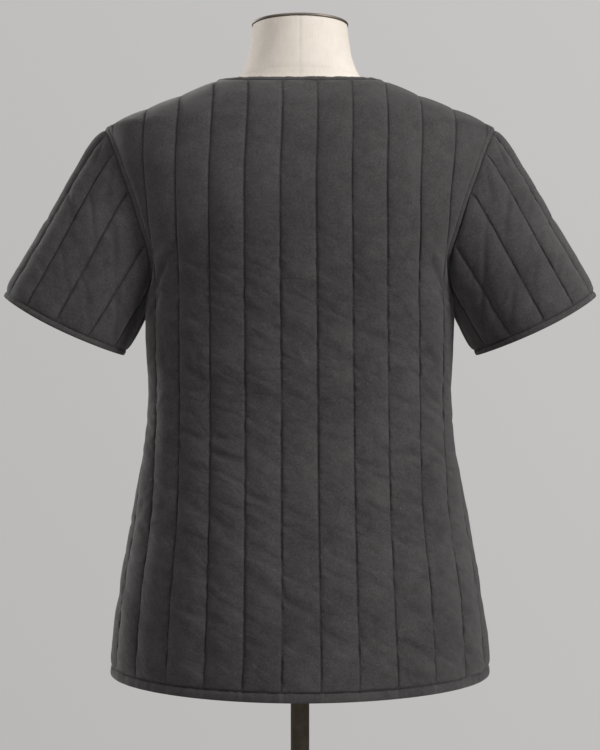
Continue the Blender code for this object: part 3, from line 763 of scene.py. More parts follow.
def half_panel(side, sign, first_channel, columns):
    """Half of the back, or one front, from its middle to its edge: points, creasing, cut and stitching."""
    lean = float(sign) if side == "back" else 0.0
    height = column_rows(columns, side)
    channel = np.broadcast_to(columns, height.shape).copy()
    turn = turn_of(channel, height, side, lean)
    # Cut each row at the panel's edge
    probe = np.linspace(first_channel, BODY_CHANNELS, 1700)
    probe_height = column_rows(probe, side)
    beyond = turn_of(probe, probe_height, side, lean) >= panel_edge(probe_height, side) - 1e-6
    crossing = np.argmax(beyond, axis=1)
    rows = np.arange(len(height))
    edge_channel = probe[crossing]
    edge_height = probe_height[rows, crossing]
    first = np.argmax(columns[None] > edge_channel[:, None] - 0.02, axis=1)
    outside = np.arange(len(columns))[None] >= first[:, None]
    height = np.where(outside, edge_height[:, None], height)
    channel = np.where(outside, edge_channel[:, None], channel)
    turn = np.where(outside, panel_edge(edge_height, side)[:, None], turn)
    points, facing = on_body(turn, height, side)
    from_edge = np.where(outside, 0, np.linalg.norm(points - points[rows, first][:, None], axis=-1))
    down = walked(points, 0) - under_neck(channel)
    strip = 2.0 * ease((height - UNDERARM + 6) / 8)
    to_edge = np.minimum(np.minimum(from_edge - strip, height - HEM_BAND), down)
    width = channel_width(height, channel)
    crumple = 0.16 + 0.84 * ease((560 - height) / 110)
    folds = BACK_CREASES if side == "back" else FRONT_CREASES
    rise = 0.47 if side == "back" else -0.42 * sign
    seed = 11 if side == "back" else 37
    out, crease = quilting(sign * channel, height, width, to_edge, seed, folds, crumple, rise)
    on_shoulder = ease((np.abs(channel) - NECK_CORNER + 0.2) / 0.3)
    flat = 1 - ease(np.clip(down, 0, None) / (34 + 36 * on_shoulder))
    out *= 1 - flat * (0.35 + 0.43 * on_shoulder) * (out > 0)
    gather = noise(channel * width / 4.6, height / 40, seed + 9)
    out += 0.45 * gather * np.exp(-(height - HEM_BAND) / 8) * np.clip((height - HEM_BAND) / 2.5, 0, 1)
    out += 0.35 * gather * np.exp(-down / 5) * np.clip(down / 2, 0, 1) * (np.abs(channel) < NECK_CORNER)
    under = sink(channel, sign) if side == "front" else 0 * channel
    if side == "front" and sign > 0:
        out = out * (1 - np.exp(-(channel - LAP) * width / 3.5))
        button = (height - TOP_BUTTON) / BUTTON_SPACING
        nearest = np.clip(np.round(button), 1 - BUTTONS, 0)
        away = np.hypot((button - nearest) * BUTTON_SPACING, points[..., 0])
        out = out * (1 - 0.3 * bell(away, 11))
    out = np.where(under > 0, out * ease(1 - under / LAP_SINK), out) - under
    points[..., 1] += SEAM / 2 if side == "back" else -SEAM / 2
    flip = np.array([sign, 1, 1])
    outer = (points + out[..., None] * facing) * flip
    inner = (points - (WALL + 0.3 + under)[..., None] * facing) * flip
    # gap: distance to the nearest stitching, cut short near the hem band, neckline and armhole edge; the
    # cloth's colour gets painted shade where it is small
    gap = from_stitching(channel, width)
    seamed = np.minimum(np.minimum(height - HEM_BAND, down), from_edge - strip)
    gap = np.minimum(gap, 0.1 + 0.8 * np.clip(seamed, 0, None))
    attributes = {"crease": crease, "gap": gap, "crumple": crumple * np.ones_like(gap)}
    attributes["row"] = np.floor(sign * channel + 0.5)
    middle = np.argmin(np.abs(columns))
    cut_length = np.interp(height, height[::-1, middle], down[::-1, middle])
    uv = np.stack([sign * np.sign(channel) * channel_distance(channel, height), -cut_length], axis=-1)
    runs = []
    for column in np.flatnonzero(np.isclose((columns - 0.5) % 1, 0)):
        if columns[column] < 0 and side == "front":
            continue
        rows_in = np.flatnonzero(first > column + 1)
        if side == "front" and sign < 0 and columns[column] < 1:
            continue
        if len(rows_in) > 12:
            runs.append(thread_run(outer[rows_in, column], (facing * flip)[rows_in, column]))
    made = {"outer": outer, "inner": inner, "attributes": attributes}
    return {**made, "uv": uv, "first": first, "runs": runs}


def joined_halves(right, left, surface, name):
    """Two halves as one shell: the right one's columns turned round, then the left one's."""

    def pair(a, b):
        return np.concatenate([a[:, :0:-1], b], axis=1)

    middle = right["outer"].shape[1] - 1
    outer, inner, uv = (pair(right[key], left[key]) for key in ("outer", "inner", "uv"))
    attributes = {key: pair(right["attributes"][key], left["attributes"][key]) for key in left["attributes"]}
    start = middle - right["first"]
    end = middle + left["first"]
    return shell(name, outer, inner, surface, attributes, uv, start=start, end=end)


def rides(made):
    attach(made, "root")
    return made


def stands_for(made, node):
    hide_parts(node)
    rides(made)


def sheet_of(made, nodes):
    """Hides the parts that a cloth piece stands for and sets it riding on the root."""
    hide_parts(*nodes)
    rides(made)


# ---- finishes -------------------------------------------------------------------------------------------


def group(name, inputs, outputs):
    """A shader node group with its named inputs (kind, value) and outputs (kind)."""
    tree = bpy.data.node_groups.new(name, "ShaderNodeTree")
    for label, (kind, value) in inputs.items():
        socket = tree.interface.new_socket(label, in_out="INPUT", socket_type=kind)
        if value is not None:
            socket.default_value = value
    for label, kind in outputs.items():
        tree.interface.new_socket(label, in_out="OUTPUT", socket_type=kind)
    start = tree.nodes.new("NodeGroupInput")
    end = tree.nodes.new("NodeGroupOutput")
    return tree, start.outputs, end.inputs


def math_node(tree, operation, first, second=None, third=None, clamp=False):
    node = tree.nodes.new("ShaderNodeMath")
    node.operation = operation
    node.use_clamp = clamp
    for socket, value in zip(node.inputs, (first, second, third)):
        if value is None:
            continue
        if isinstance(value, bpy.types.NodeSocket):
            tree.links.new(value, socket)
        else:
            socket.default_value = value
    return node.outputs[0]


def mix_colour(tree, share, first, second, mode="MIX"):
    node = tree.nodes.new("ShaderNodeMix")
    node.data_type = "RGBA"
    node.blend_type = mode
    for label, value in (("Factor_Float", share), ("A_Color", first), ("B_Color", second)):
        socket = next(s for s in node.inputs if s.identifier == label)
        if isinstance(value, bpy.types.NodeSocket):
            tree.links.new(value, socket)
        else:
            socket.default_value = value if isinstance(value, float) else (*value, 1)
    return next(s for s in node.outputs if s.identifier == "Result_Color")


def noise_node(tree, vector, scale, detail=2.0, roughness=0.5):
    node = tree.nodes.new("ShaderNodeTexNoise")
    tree.links.new(vector, node.inputs["Vector"])
    if isinstance(scale, bpy.types.NodeSocket):
        tree.links.new(scale, node.inputs["Scale"])
    else:
        node.inputs["Scale"].default_value = scale
    node.inputs["Detail"].default_value = detail
    node.inputs["Roughness"].default_value = roughness
    return node.outputs[0]


def attribute_of(tree, name):
    node = tree.nodes.new("ShaderNodeAttribute")
    node.attribute_name = name
    return node.outputs


def on_cut(tree):
    """Places on the flat cut of the cloth, in metres."""
    node = tree.nodes.new("ShaderNodeUVMap")
    node.uv_map = "cut"
    return node.outputs[0]


def stretched(tree, vector, scale, turn=0.0, kind="TEXTURE"):
    """Places stretched by scale and turned about their third axis."""
    node = tree.nodes.new("ShaderNodeMapping")
    node.vector_type = kind
    node.inputs["Rotation"].default_value = (0, 0, turn)
    node.inputs["Scale"].default_value = scale
    tree.links.new(vector, node.inputs["Vector"])
    return node.outputs[0]


def weave_group():
    """Plain weave: threads p apart both ways, each rounded, over and under by turns."""
    tree, inputs, outputs = group(
        "Plain weave",
        {"Place": ("NodeSocketVector", None), "Thread": ("NodeSocketFloat", 0.0008)},
        {"Height": "NodeSocketFloat"},
    )
    apart = tree.nodes.new("ShaderNodeSeparateXYZ")
    tree.links.new(inputs["Place"], apart.inputs[0])
    waves = []
    for axis in range(2):
        turn = math_node(tree, "DIVIDE", apart.outputs[axis], inputs["Thread"])
        turn = math_node(tree, "MULTIPLY", turn, math.pi)
        waves.append((math_node(tree, "SINE", turn), math_node(tree, "COSINE", turn)))
    over = math_node(tree, "MULTIPLY", waves[0][0], waves[1][0])
    under = math_node(tree, "MULTIPLY", waves[0][1], waves[1][1])
    over = math_node(tree, "ABSOLUTE", over)
    under = math_node(tree, "ABSOLUTE", under)
    height = math_node(tree, "MAXIMUM", over, under)
    tree.links.new(height, outputs["Height"])
    return tree


def mottle_group():
    """Uneven colour: wide clouds, small clouds and fine slubs, each added in its own strength."""
    tree, inputs, outputs = group(
        "Washed mottling",
        {
            "Place": ("NodeSocketVector", None),
            "Cloud scale": ("NodeSocketFloat", 14.0),
            "Fleck scale": ("NodeSocketFloat", 260.0),
            "Fleck strength": ("NodeSocketFloat", 0.4),
        },
        {"Value": "NodeSocketFloat", "Fleck": "NodeSocketFloat"},
    )
    wide = noise_node(tree, inputs["Place"], inputs["Cloud scale"], 3.0, 0.55)
    small = noise_node(tree, inputs["Place"], 75.0, 3.0, 0.6)
    fleck = noise_node(tree, inputs["Place"], inputs["Fleck scale"], 2.0, 0.7)
    value = math_node(tree, "MULTIPLY_ADD", small, 0.6, math_node(tree, "MULTIPLY", wide, 0.7))
    value = math_node(tree, "MULTIPLY_ADD", fleck, inputs["Fleck strength"], value)
    tree.links.new(value, outputs["Value"])
    tree.links.new(fleck, outputs["Fleck"])
    return tree


def crumple_group():
    """Fine creases lying across the cloth at a lean, and short puckers run out from the stitching."""
    tree, inputs, outputs = group(
        "Crumpled cloth",
        {
            "Place": ("NodeSocketVector", None),
            "Gap": ("NodeSocketFloat", 10.0),
            "Crumple": ("NodeSocketFloat", 0.5),
        },
        {"Height": "NodeSocketFloat"},
    )
    leant = stretched(tree, inputs["Place"], (0.030, 0.0150, 1), math.radians(24))
    folds = noise_node(tree, leant, 1.0, 0.8, 0.4)
    sharp = math_node(tree, "ABSOLUTE", math_node(tree, "MULTIPLY_ADD", folds, 2.0, -1.0))
    sharp = math_node(tree, "MULTIPLY", sharp, 4.0, clamp=True)
    creased = math_node(tree, "MULTIPLY_ADD", sharp, 0.2, folds)
    creased = math_node(tree, "MULTIPLY", creased, inputs["Crumple"])
    short = stretched(tree, inputs["Place"], (0.03, 0.0042, 1))
    pucker = noise_node(tree, short, 1.0, 1.0, 0.5)
    near = math_node(tree, "MULTIPLY_ADD", inputs["Gap"], -0.11, 1.0, clamp=True)
    near = math_node(tree, "MULTIPLY", near, near)
    near = math_node(tree, "MULTIPLY", near, math_node(tree, "MULTIPLY_ADD", inputs["Crumple"], 0.7, 0.5))
    tree.links.new(math_node(tree, "MULTIPLY_ADD", pucker, near, creased), outputs["Height"])
    return tree


WEAVE = weave_group()
CRUMPLE = crumple_group()
MOTTLE = mottle_group()


def use_group(tree, which, **values):
    node = tree.nodes.new("ShaderNodeGroup")
    node.node_tree = which
    for label, value in values.items():
        socket = node.inputs[label.replace("_", " ")]
        if isinstance(value, bpy.types.NodeSocket):
            tree.links.new(value, socket)
        else:
            socket.default_value = value
    return node.outputs


def new_material(name, **settings):
    made = bpy.data.materials.new(name)
    made.use_nodes = True
    tree = made.node_tree
    shader = tree.nodes["Principled BSDF"]
    for label, value in settings.items():
        shader.inputs[label.replace("_", " ")].default_value = value
    place_node = tree.nodes.new("ShaderNodeTexCoord")
    return made, tree, shader, place_node.outputs["Object"]


def bump(tree, shader, height, strength, distance):
    """Adds relief over whatever relief the material has already."""
    node = tree.nodes.new("ShaderNodeBump")
    for before in shader.inputs["Normal"].links:
        tree.links.new(before.from_socket, node.inputs["Normal"])
    node.inputs["Strength"].default_value = strength
    node.inputs["Distance"].default_value = distance
    tree.links.new(height, node.inputs["Height"])
    tree.links.new(node.outputs["Normal"], shader.inputs["Normal"])


def quilted_cotton():
    """Washed charcoal canvas: paler on the crests (wear and painted highlight) and flecks, painted shade in
    the creases' troughs and beside the stitching, softly sheened.
    """
    made, tree, shader, place_at = new_material(
        "charcoal quilted cotton",
        Roughness=0.88,
        Sheen_Weight=0.25,
        Sheen_Roughness=0.45,
        Specular_IOR_Level=0.25,
    )
    cut = on_cut(tree)
    mottle = use_group(tree, MOTTLE, Place=place_at, Cloud_scale=13.0, Fleck_scale=480.0, Fleck_strength=1.15)
    weave = use_group(tree, WEAVE, Place=cut, Thread=0.0009)
    gap = attribute_of(tree, "gap")["Fac"]
    crease = attribute_of(tree, "crease")["Fac"]
    amount = attribute_of(tree, "crumple")["Fac"]
    row = attribute_of(tree, "row")["Vector"]
    apart = tree.nodes.new("ShaderNodeVectorMath")
    apart.operation = "MULTIPLY_ADD"
    tree.links.new(row, apart.inputs[0])
    apart.inputs[1].default_value = (0, 0.317, 0)
    tree.links.new(cut, apart.inputs[2])
    crumpled = use_group(tree, CRUMPLE, Place=apart.outputs[0], Gap=gap, Crumple=amount)
    share = math_node(tree, "MULTIPLY_ADD", mottle["Value"], 1.5, -1.35, clamp=True)
    colour = mix_colour(tree, share, (0.0285, 0.0264, 0.0274), (0.0655, 0.0615, 0.0638))
    lint = noise_node(tree, place_at, 620.0, 1.0, 0.5)
    lint = math_node(tree, "MULTIPLY_ADD", lint, 9.0, -6.6, clamp=True)
    colour = mix_colour(tree, lint, colour, (0.15, 0.145, 0.147))
    # painted shade: the colour goes darker where the crease relief dips into a trough
    painted_trough_shade = math_node(tree, "MULTIPLY_ADD", crease, -0.22, -0.08, clamp=True)
    colour = mix_colour(tree, painted_trough_shade, colour, (0.018, 0.0165, 0.0165))
    # wear and painted highlight: the colour goes paler where the crease relief rises into a ridge
    wear_and_ridge_highlight = math_node(tree, "MULTIPLY_ADD", crease, 0.14, 0.02, clamp=True)
    colour = mix_colour(tree, wear_and_ridge_highlight, colour, (0.105, 0.1, 0.1))
    # painted shade: near black in the stitching grooves and along seams and band edges, wherever the gap
    # attribute is small
    sunk = math_node(tree, "DIVIDE", gap, 1.9)
    sunk = math_node(tree, "SUBTRACT", 1.0, sunk, clamp=True)
    sunk = math_node(tree, "MULTIPLY", sunk, 0.85)
    colour = mix_colour(tree, sunk, colour, (0.012, 0.011, 0.011))
    tree.links.new(colour, shader.inputs["Base Color"])
    bump(tree, shader, crumpled["Height"], 0.8, 0.0018)
    height = math_node(tree, "MULTIPLY_ADD", mottle["Fleck"], 0.8, weave["Height"])
    bump(tree, shader, height, 0.35, 0.0004)
    return made


def thread_material():
    made, tree, shader, place_at = new_material("black sewing thread", Roughness=0.7, Sheen_Weight=0.15)
    speck = noise_node(tree, place_at, 900.0)
    colour = mix_colour(tree, speck, (0.012, 0.011, 0.011), (0.03, 0.028, 0.028))
    tree.links.new(colour, shader.inputs["Base Color"])
    return made


def linen_material():
    """Pale natural linen: fine weave, slubs and faint toning, with painted shade in its seam grooves."""
    made, tree, shader, place_at = new_material(
        "natural linen cover", Roughness=0.85, Sheen_Weight=0.1, Specular_IOR_Level=0.25
    )
    cut = on_cut(tree)
    weave = use_group(tree, WEAVE, Place=cut, Thread=0.0011)
    mottle = use_group(tree, MOTTLE, Place=place_at, Cloud_scale=9.0, Fleck_scale=300.0, Fleck_strength=0.35)
    seam = attribute_of(tree, "seam")["Fac"]
    share = math_node(tree, "MULTIPLY_ADD", mottle["Value"], 1.3, -0.7, clamp=True)
    colour = mix_colour(tree, share, (0.76, 0.69, 0.615), (0.88, 0.825, 0.76))
    slubs = noise_node(tree, stretched(tree, cut, (0.0011, 0.02, 1)), 1.0, 2.0, 0.6)
    streak = math_node(tree, "MULTIPLY_ADD", slubs, 1.6, -0.68, clamp=True)
    colour = mix_colour(tree, streak, colour, (0.70, 0.635, 0.56))
    # painted shade along the seam grooves, taken from the seam attribute
    shade = math_node(tree, "MULTIPLY", seam, 0.14, clamp=True)
    colour = mix_colour(tree, shade, colour, (0.42, 0.36, 0.3))
    tree.links.new(colour, shader.inputs["Base Color"])
    height = math_node(tree, "MULTIPLY_ADD", mottle["Fleck"], 0.7, weave["Height"])
    height = math_node(tree, "MULTIPLY_ADD", slubs, 1.6, height)
    bump(tree, shader, height, 0.35, 0.0005)
    return made


def horn_material():
    """Dark horn: fine lengthwise bands between near black and brown under a soft polish."""
    made, tree, shader, place_at = new_material("dark horn", Roughness=0.34, IOR=1.5)
    bands = noise_node(tree, stretched(tree, place_at, (60, 60, 420), kind="POINT"), 1.0, 4.0, 0.6)
    share = math_node(tree, "MULTIPLY_ADD", bands, 2.2, -0.75, clamp=True)
    colour = mix_colour(tree, share, (0.012, 0.009, 0.007), (0.075, 0.048, 0.028))
    tree.links.new(colour, shader.inputs["Base Color"])
    rough = math_node(tree, "MULTIPLY_ADD", bands, 0.2, 0.24)
    tree.links.new(rough, shader.inputs["Roughness"])
    bump(tree, shader, bands, 0.1, 0.0003)
    return made


def bronzed_steel(name, dark, light, roughness):
    """Bronzed steel: two browns in clouds, fine scratches in the polish."""
    made, tree, shader, place_at = new_material(name, Metallic=1.0)
    mottle = use_group(tree, MOTTLE, Place=place_at, Cloud_scale=22.0, Fleck_scale=600.0, Fleck_strength=0.3)
    share = math_node(tree, "MULTIPLY_ADD", mottle["Value"], 1.6, -0.8, clamp=True)
    tree.links.new(mix_colour(tree, share, dark, light), shader.inputs["Base Color"])
    rough = math_node(tree, "MULTIPLY_ADD", mottle["Value"], 0.25, roughness - 0.15, clamp=True)
    tree.links.new(rough, shader.inputs["Roughness"])
    bump(tree, shader, mottle["Fleck"], 0.08, 0.0002)
    return made


COTTON = quilted_cotton()
THREAD_BLACK = thread_material()
LINEN = linen_material()
HORN = horn_material()
CAP_STEEL = bronzed_steel("brown bronzed steel", (0.13, 0.112, 0.097), (0.25, 0.22, 0.19), 0.52)
STAND_STEEL = bronzed_steel("black bronzed steel", (0.07, 0.056, 0.043), (0.17, 0.143, 0.113), 0.4)


# ---- the garment ----------------------------------------------------------------------------------------


def make_back():
    columns = to_odd(np.sort(np.append(quilt_columns(0.0, BODY_CHANNELS), NECK_CORNER)))
    left = half_panel("back", 1, 0.0, columns)
    right = half_panel("back", -1, 0.0, columns)
    made = joined_halves(right, left, COTTON, "back_cloth")
    thread = rides(stitches("back_stitching", left["runs"] + right["runs"], THREAD_BLACK))
    sheet_of(made, ["back_panel"])


def make_fronts():
    columns = to_odd(np.sort(np.append(quilt_columns(LAP, BODY_CHANNELS), NECK_CORNER)))
    for name, sign in (("left", 1), ("right", -1)):
        half = half_panel("front", sign, LAP, columns)
        made = shell(
            f"front_{name}_cloth",
            half["outer"],
            half["inner"],
            COTTON,
            half["attributes"],
            half["uv"],
            end=half["first"],
        )
        thread = rides(stitches(f"front_{name}_stitching", half["runs"], THREAD_BLACK))
        sheet_of(made, [f"front_{name}"])


def band_section(steps=26):
    """Across (1 at the upper edge) and through (1 outside) places of a rounded bar's section."""
    turn = (np.arange(steps) + 0.5) * math.tau / steps
    across = np.sign(np.cos(turn)) * np.abs(np.cos(turn)) ** 0.42
    through = np.sign(np.sin(turn)) * np.abs(np.sin(turn)) ** 0.42
    return across, through


def band_bar(upper, lower, sunk, proud):
    """Sections of a band between two edges, each an array of points and facings: a rounded bar WALL thick."""
    across, through = band_section()
    share = (1 + across[None, :, None]) / 2
    points = lower[0][:, None] * (1 - share) + upper[0][:, None] * share
    facing = unit(lower[1][:, None] * (1 - share) + upper[1][:, None] * share)
    outside = BAND_PROUD + proud
    out = (through[None] + 1) / 2 * (outside + WALL) - WALL
    out = out - sunk[:, None] * np.ones_like(through)[None]
    return points + out[..., None] * facing


def make_body_band(name, node, edges, seam_channel, tick_width):
    """A binding from the left front's lap round the back to the right's, tight at each row of quilting."""
    parts = []
    order = (("front", 1, True), ("back", 1, False), ("back", -1, True), ("front", -1, False))
    for side, sign, outward in order:
        start = LAP if side == "front" else 0.0
        count = int((seam_channel[side] - start) * BAND_COLUMNS)
        channels = np.linspace(start, seam_channel[side], count)
        channels = channels if outward else channels[::-1]
        channels = channels[:-1] if (side, sign) != ("front", -1) else channels
        upper, lower = (list(on_body(*edge(channels, side, sign), side)) for edge in edges)
        for pair in (upper, lower):
            pair[0] = pair[0] * (sign, 1, 1)
            pair[1] = pair[1] * (sign, 1, 1)
        sunk = sink(channels, sign) if side == "front" else np.zeros(len(channels))
        parts.append((upper[0], upper[1], lower[0], lower[1], sunk, channels * sign))
    up, up_face, low, low_face, sunk, across = (np.concatenate(part) for part in zip(*parts))
    along = np.concatenate([[0], np.cumsum(np.linalg.norm(np.diff(low, axis=0), axis=1))])
    through_wave = noise(along / 7.5, 0.3, 71)[:, None] * 0.38 + noise(along / 2.9, 1.7, 72)[:, None] * 0.42
    off = from_stitching(across, CHANNELS["width"][0])
    places, _ = band_section()
    belly = 0.35 * (1 - places[None] ** 2)
    groove = -0.8 * bell(places[None] - 0.80, 0.15)
    tick = -0.75 * bell(off[:, None], tick_width)
    proud = belly + groove + through_wave * (1 + 0.6 * places[None]) + tick
    sections = band_bar((up, up_face), (low, low_face), sunk, proud)
    # crease carries the band's relief into its colour, paler on its swells and either side of each stitched
    # tick (wear and painted highlight); gap falls to 0 along the stitched groove for painted shade there
    crease = (0.6 * proud + 1.3 * bell(off[:, None] - 1.6, 1.1)) * np.ones((1, len(places)))
    gap = np.full(proud.shape, 6.0) - 6.0 * bell(places[None] - 0.84, 0.14)
    attributes = {"crease": crease, "gap": gap}
    uv = np.stack(np.broadcast_arrays(along[:, None], places[None] * 5.5), axis=-1)
    made = tube(name, sections, COTTON, attributes, uv)
    sheet_of(made, [node])


def make_bands():
    seam_channel = {}
    for side in ("back", "front"):
        reached = np.arange(0, BODY_CHANNELS, 0.005)
        turns = turn_of(reached, 0.0, side)
        seam_channel[side] = reached[int(np.argmax(turns > math.pi / 2 - 1e-4))]

    def hem_edge(height):
        def edge(channels, side, sign):
            turn = turn_of(channels, height, side, float(sign) if side == "back" else 0.0)
            return turn, np.full(len(channels), height)

        return edge

    def neck_edge(grow):
        return lambda channels, side, sign: neck_place(channels, side, grow)

    edges = (hem_edge(HEM_BAND), hem_edge(0.0))
    make_body_band("hem_binding", "hem_band", edges, seam_channel, 1.3)
    at_neck = {"back": NECK_CORNER - 1e-4, "front": NECK_CORNER - 1e-4}
    edges = (neck_edge(0.0), neck_edge(NECK_BAND - 2 * SEAM))
    make_body_band("neck_binding", "neck_band", edges, at_neck, 1.1)


def armhole_loop(angle):
    """Points of the left armhole, 0 at the shoulder tip, then round the back, under the arm and the front."""
    angle = np.mod(angle, math.tau)
    behind = angle <= math.pi
    fold = np.where(behind, angle, math.tau - angle)
    middle = (SHOULDER_TIP + UNDERARM) / 2
    height = middle + (SHOULDER_TIP - UNDERARM) / 2 * np.cos(fold)
    spots = []
    facings = []
    for side, chosen in (("back", behind), ("front", ~behind)):
        spot, facing = on_body(side_turn(armhole_depth(fold, side), height, side), height, side)
        spots.append(np.where(chosen[..., None], spot, 0))
        facings.append(np.where(chosen[..., None], facing, 0))
    return spots[0] + spots[1], facings[0] + facings[1]


def sleeve_surface(angle, along):
    """The left sleeve, from the armhole (along 0) to its cuff (along 1), with a rounded head."""
    once, twice = SLEEVE_TWIST
    shift = once * np.sin(angle) + twice * np.sin(2 * angle)
    start, _ = armhole_loop(angle - shift)
    out_x, out_z = CUFF_OUTWARD
    wide = CUFF_HALF_WIDTH * np.cos(angle)
    bow = CUFF_BOW * np.sin(angle) ** 2
    end = np.stack(
        [
            CUFF_CENTRE[0] + wide * out_x + bow * out_z,
            CUFF_HALF_DEPTH * np.sin(angle),
            CUFF_CENTRE[1] + wide * out_z - bow * out_x,
        ],
        axis=-1,
    )
    head = along / HEAD_RUN * np.exp(1 - along / HEAD_RUN) * np.cos(angle / 2) ** 2
    lift = np.array([0.86, 0.0, 0.51]) * SLEEVE_HEAD
    return start + along[..., None] * (end - start) + head[..., None] * lift


def sleeve_length(angle):
    zero = np.zeros_like(angle)
    return np.linalg.norm(sleeve_surface(angle, zero + 1) - sleeve_surface(angle, zero), axis=-1)


def sleeve_facing(angle, along):
    nudge = 1e-3
    round_it = sleeve_surface(angle + nudge, along) - sleeve_surface(angle - nudge, along)
    down_it = sleeve_surface(angle, along + nudge) - sleeve_surface(angle, along - nudge)
    return unit(np.cross(down_it, round_it))


def make_sleeves():
    """Quilted tubes: twelve channels round, gathered a little at the head, drawn in at the cuff band."""
    columns = quilt_columns(0.5, SLEEVE_CHANNELS + 0.5)[:-1]
    columns = columns if len(columns) % 2 == 0 else np.append(columns, SLEEVE_CHANNELS + 0.499)
    angle = (columns - 0.5) * math.tau / SLEEVE_CHANNELS
    length = sleeve_length(angle)
    start = SLEEVE_START / length
    end = 1 - (CUFF_BAND - TUCK) / length
    along = start + (end - start) * np.linspace(0, 1, SLEEVE_ROWS)[:, None]
    angles = np.broadcast_to(angle, along.shape)
    points = sleeve_surface(angles, along)
    facing = sleeve_facing(angles, along)
    down = walked(points, 0)
    to_edge = np.minimum(down - 1.5, down[-1] - TUCK - down)
    across = np.where(angles > math.pi, angles - math.tau, angles) * SLEEVE_CHANNELS / math.tau + 0.5
    girth = np.linalg.norm(points - np.roll(points, -1, axis=1), axis=-1).sum(axis=1)[:, None]
    width = girth / SLEEVE_CHANNELS * np.ones_like(across)
    for name, sign in (("left", 1), ("right", -1)):
        seed = 53 if sign > 0 else 67
        out, crease = quilting(across, down, width, to_edge, seed, SLEEVE_CREASES, 0.5, -0.3)
        head = noise(across * width / 11, 0.5, seed + 11) * np.exp(-down / 22) * np.clip(down / 4, 0, 1)
        out = out + 0.9 * head * (np.cos(angles) > -0.6)
        gather = noise(across * width / 4.8, 0.2, seed + 12) * np.exp(-(down[-1] - down) / 7)
        out = out + 0.4 * gather * np.clip((down[-1] - TUCK - down) / 2.5, 0, 1)
        outer = (points + out[..., None] * facing) * (sign, 1, 1)
        inner = (points - (WALL + 0.3) * facing) * (sign, 1, 1)
        # gap: distance to the nearest stitching, cut short near the armhole and cuff; the cloth's colour gets
        # painted shade where it is small
        gap = from_stitching(across, width)
        gap = np.minimum(gap, 0.1 + 0.8 * np.clip(to_edge, 0, None))
        uv = np.stack([np.broadcast_to(columns, width.shape) * width.mean(), -down], axis=-1)
        attributes = {"crease": crease, "gap": gap, "crumple": 0.5 * np.ones_like(gap)}
        attributes["row"] = np.floor(across + 0.5) + 20
        made = shell(f"sleeve_{name}_cloth", outer, inner, COTTON, attributes, uv, ring=True)
        runs = []
        for column in np.flatnonzero(np.isclose((columns - 0.5) % 1, 0)):
            runs.append(thread_run(outer[:, column], (facing * (sign, 1, 1))[:, column]))
        thread = rides(stitches(f"sleeve_{name}_stitching", runs, THREAD_BLACK))
        sheet_of(made, [f"sleeve_{name}"])


def make_cuff_bands():
    """Bindings round the cuffs, with a groove where they are stitched and small ripples between."""
    stations = 264
    angle = np.arange(stations) * math.tau / stations
    length = sleeve_length(angle)
    edges = []
    for along in (1 - CUFF_BAND / length, np.ones(stations)):
        edges.append((sleeve_surface(angle, along), sleeve_facing(angle, along)))
    places, _ = band_section()
    run = angle * CUFF_HALF_WIDTH
    for name, sign, seed in (("left", 1, 81), ("right", -1, 91)):
        wave = noise(np.cos(angle) * 11, np.sin(angle) * 11, seed)[:, None]
        small = noise(np.cos(angle) * 27, np.sin(angle) * 27, seed + 1)[:, None]
        across = angle * SLEEVE_CHANNELS / math.tau + 0.5
        off = from_stitching(across, 40)
        tick = -0.55 * bell(off[:, None], 1.2)
        belly = 0.3 * (1 - places[None] ** 2) - 0.45 * bell(places[None] - 0.7, 0.14)
        proud = belly + 0.22 * wave * (1 + 0.5 * places[None]) + 0.12 * small + tick
        flipped = [(edge[0] * (sign, 1, 1), edge[1] * (sign, 1, 1)) for edge in edges]
        sections = band_bar(*flipped, np.zeros(stations), proud)
        # crease carries the band's relief into its colour, paler on its swells and either side of each
        # stitched tick (wear and painted highlight); gap falls near 0 along the stitched groove for painted
        # shade there
        crease = (0.6 * proud + 0.9 * bell(off[:, None] - 1.5, 1.0)) * np.ones((1, len(places)))
        gap = np.full(proud.shape, 6.0) - 5.4 * bell(places[None] - 0.76, 0.12)
        uv = np.stack(np.broadcast_arrays(run[:, None], places[None] * 3.5), axis=-1)
        made = tube(f"cuff_{name}_binding", sections, COTTON, {"crease": crease, "gap": gap}, uv, ring=True)
        sheet_of(made, [f"cuff_band_{name}"])


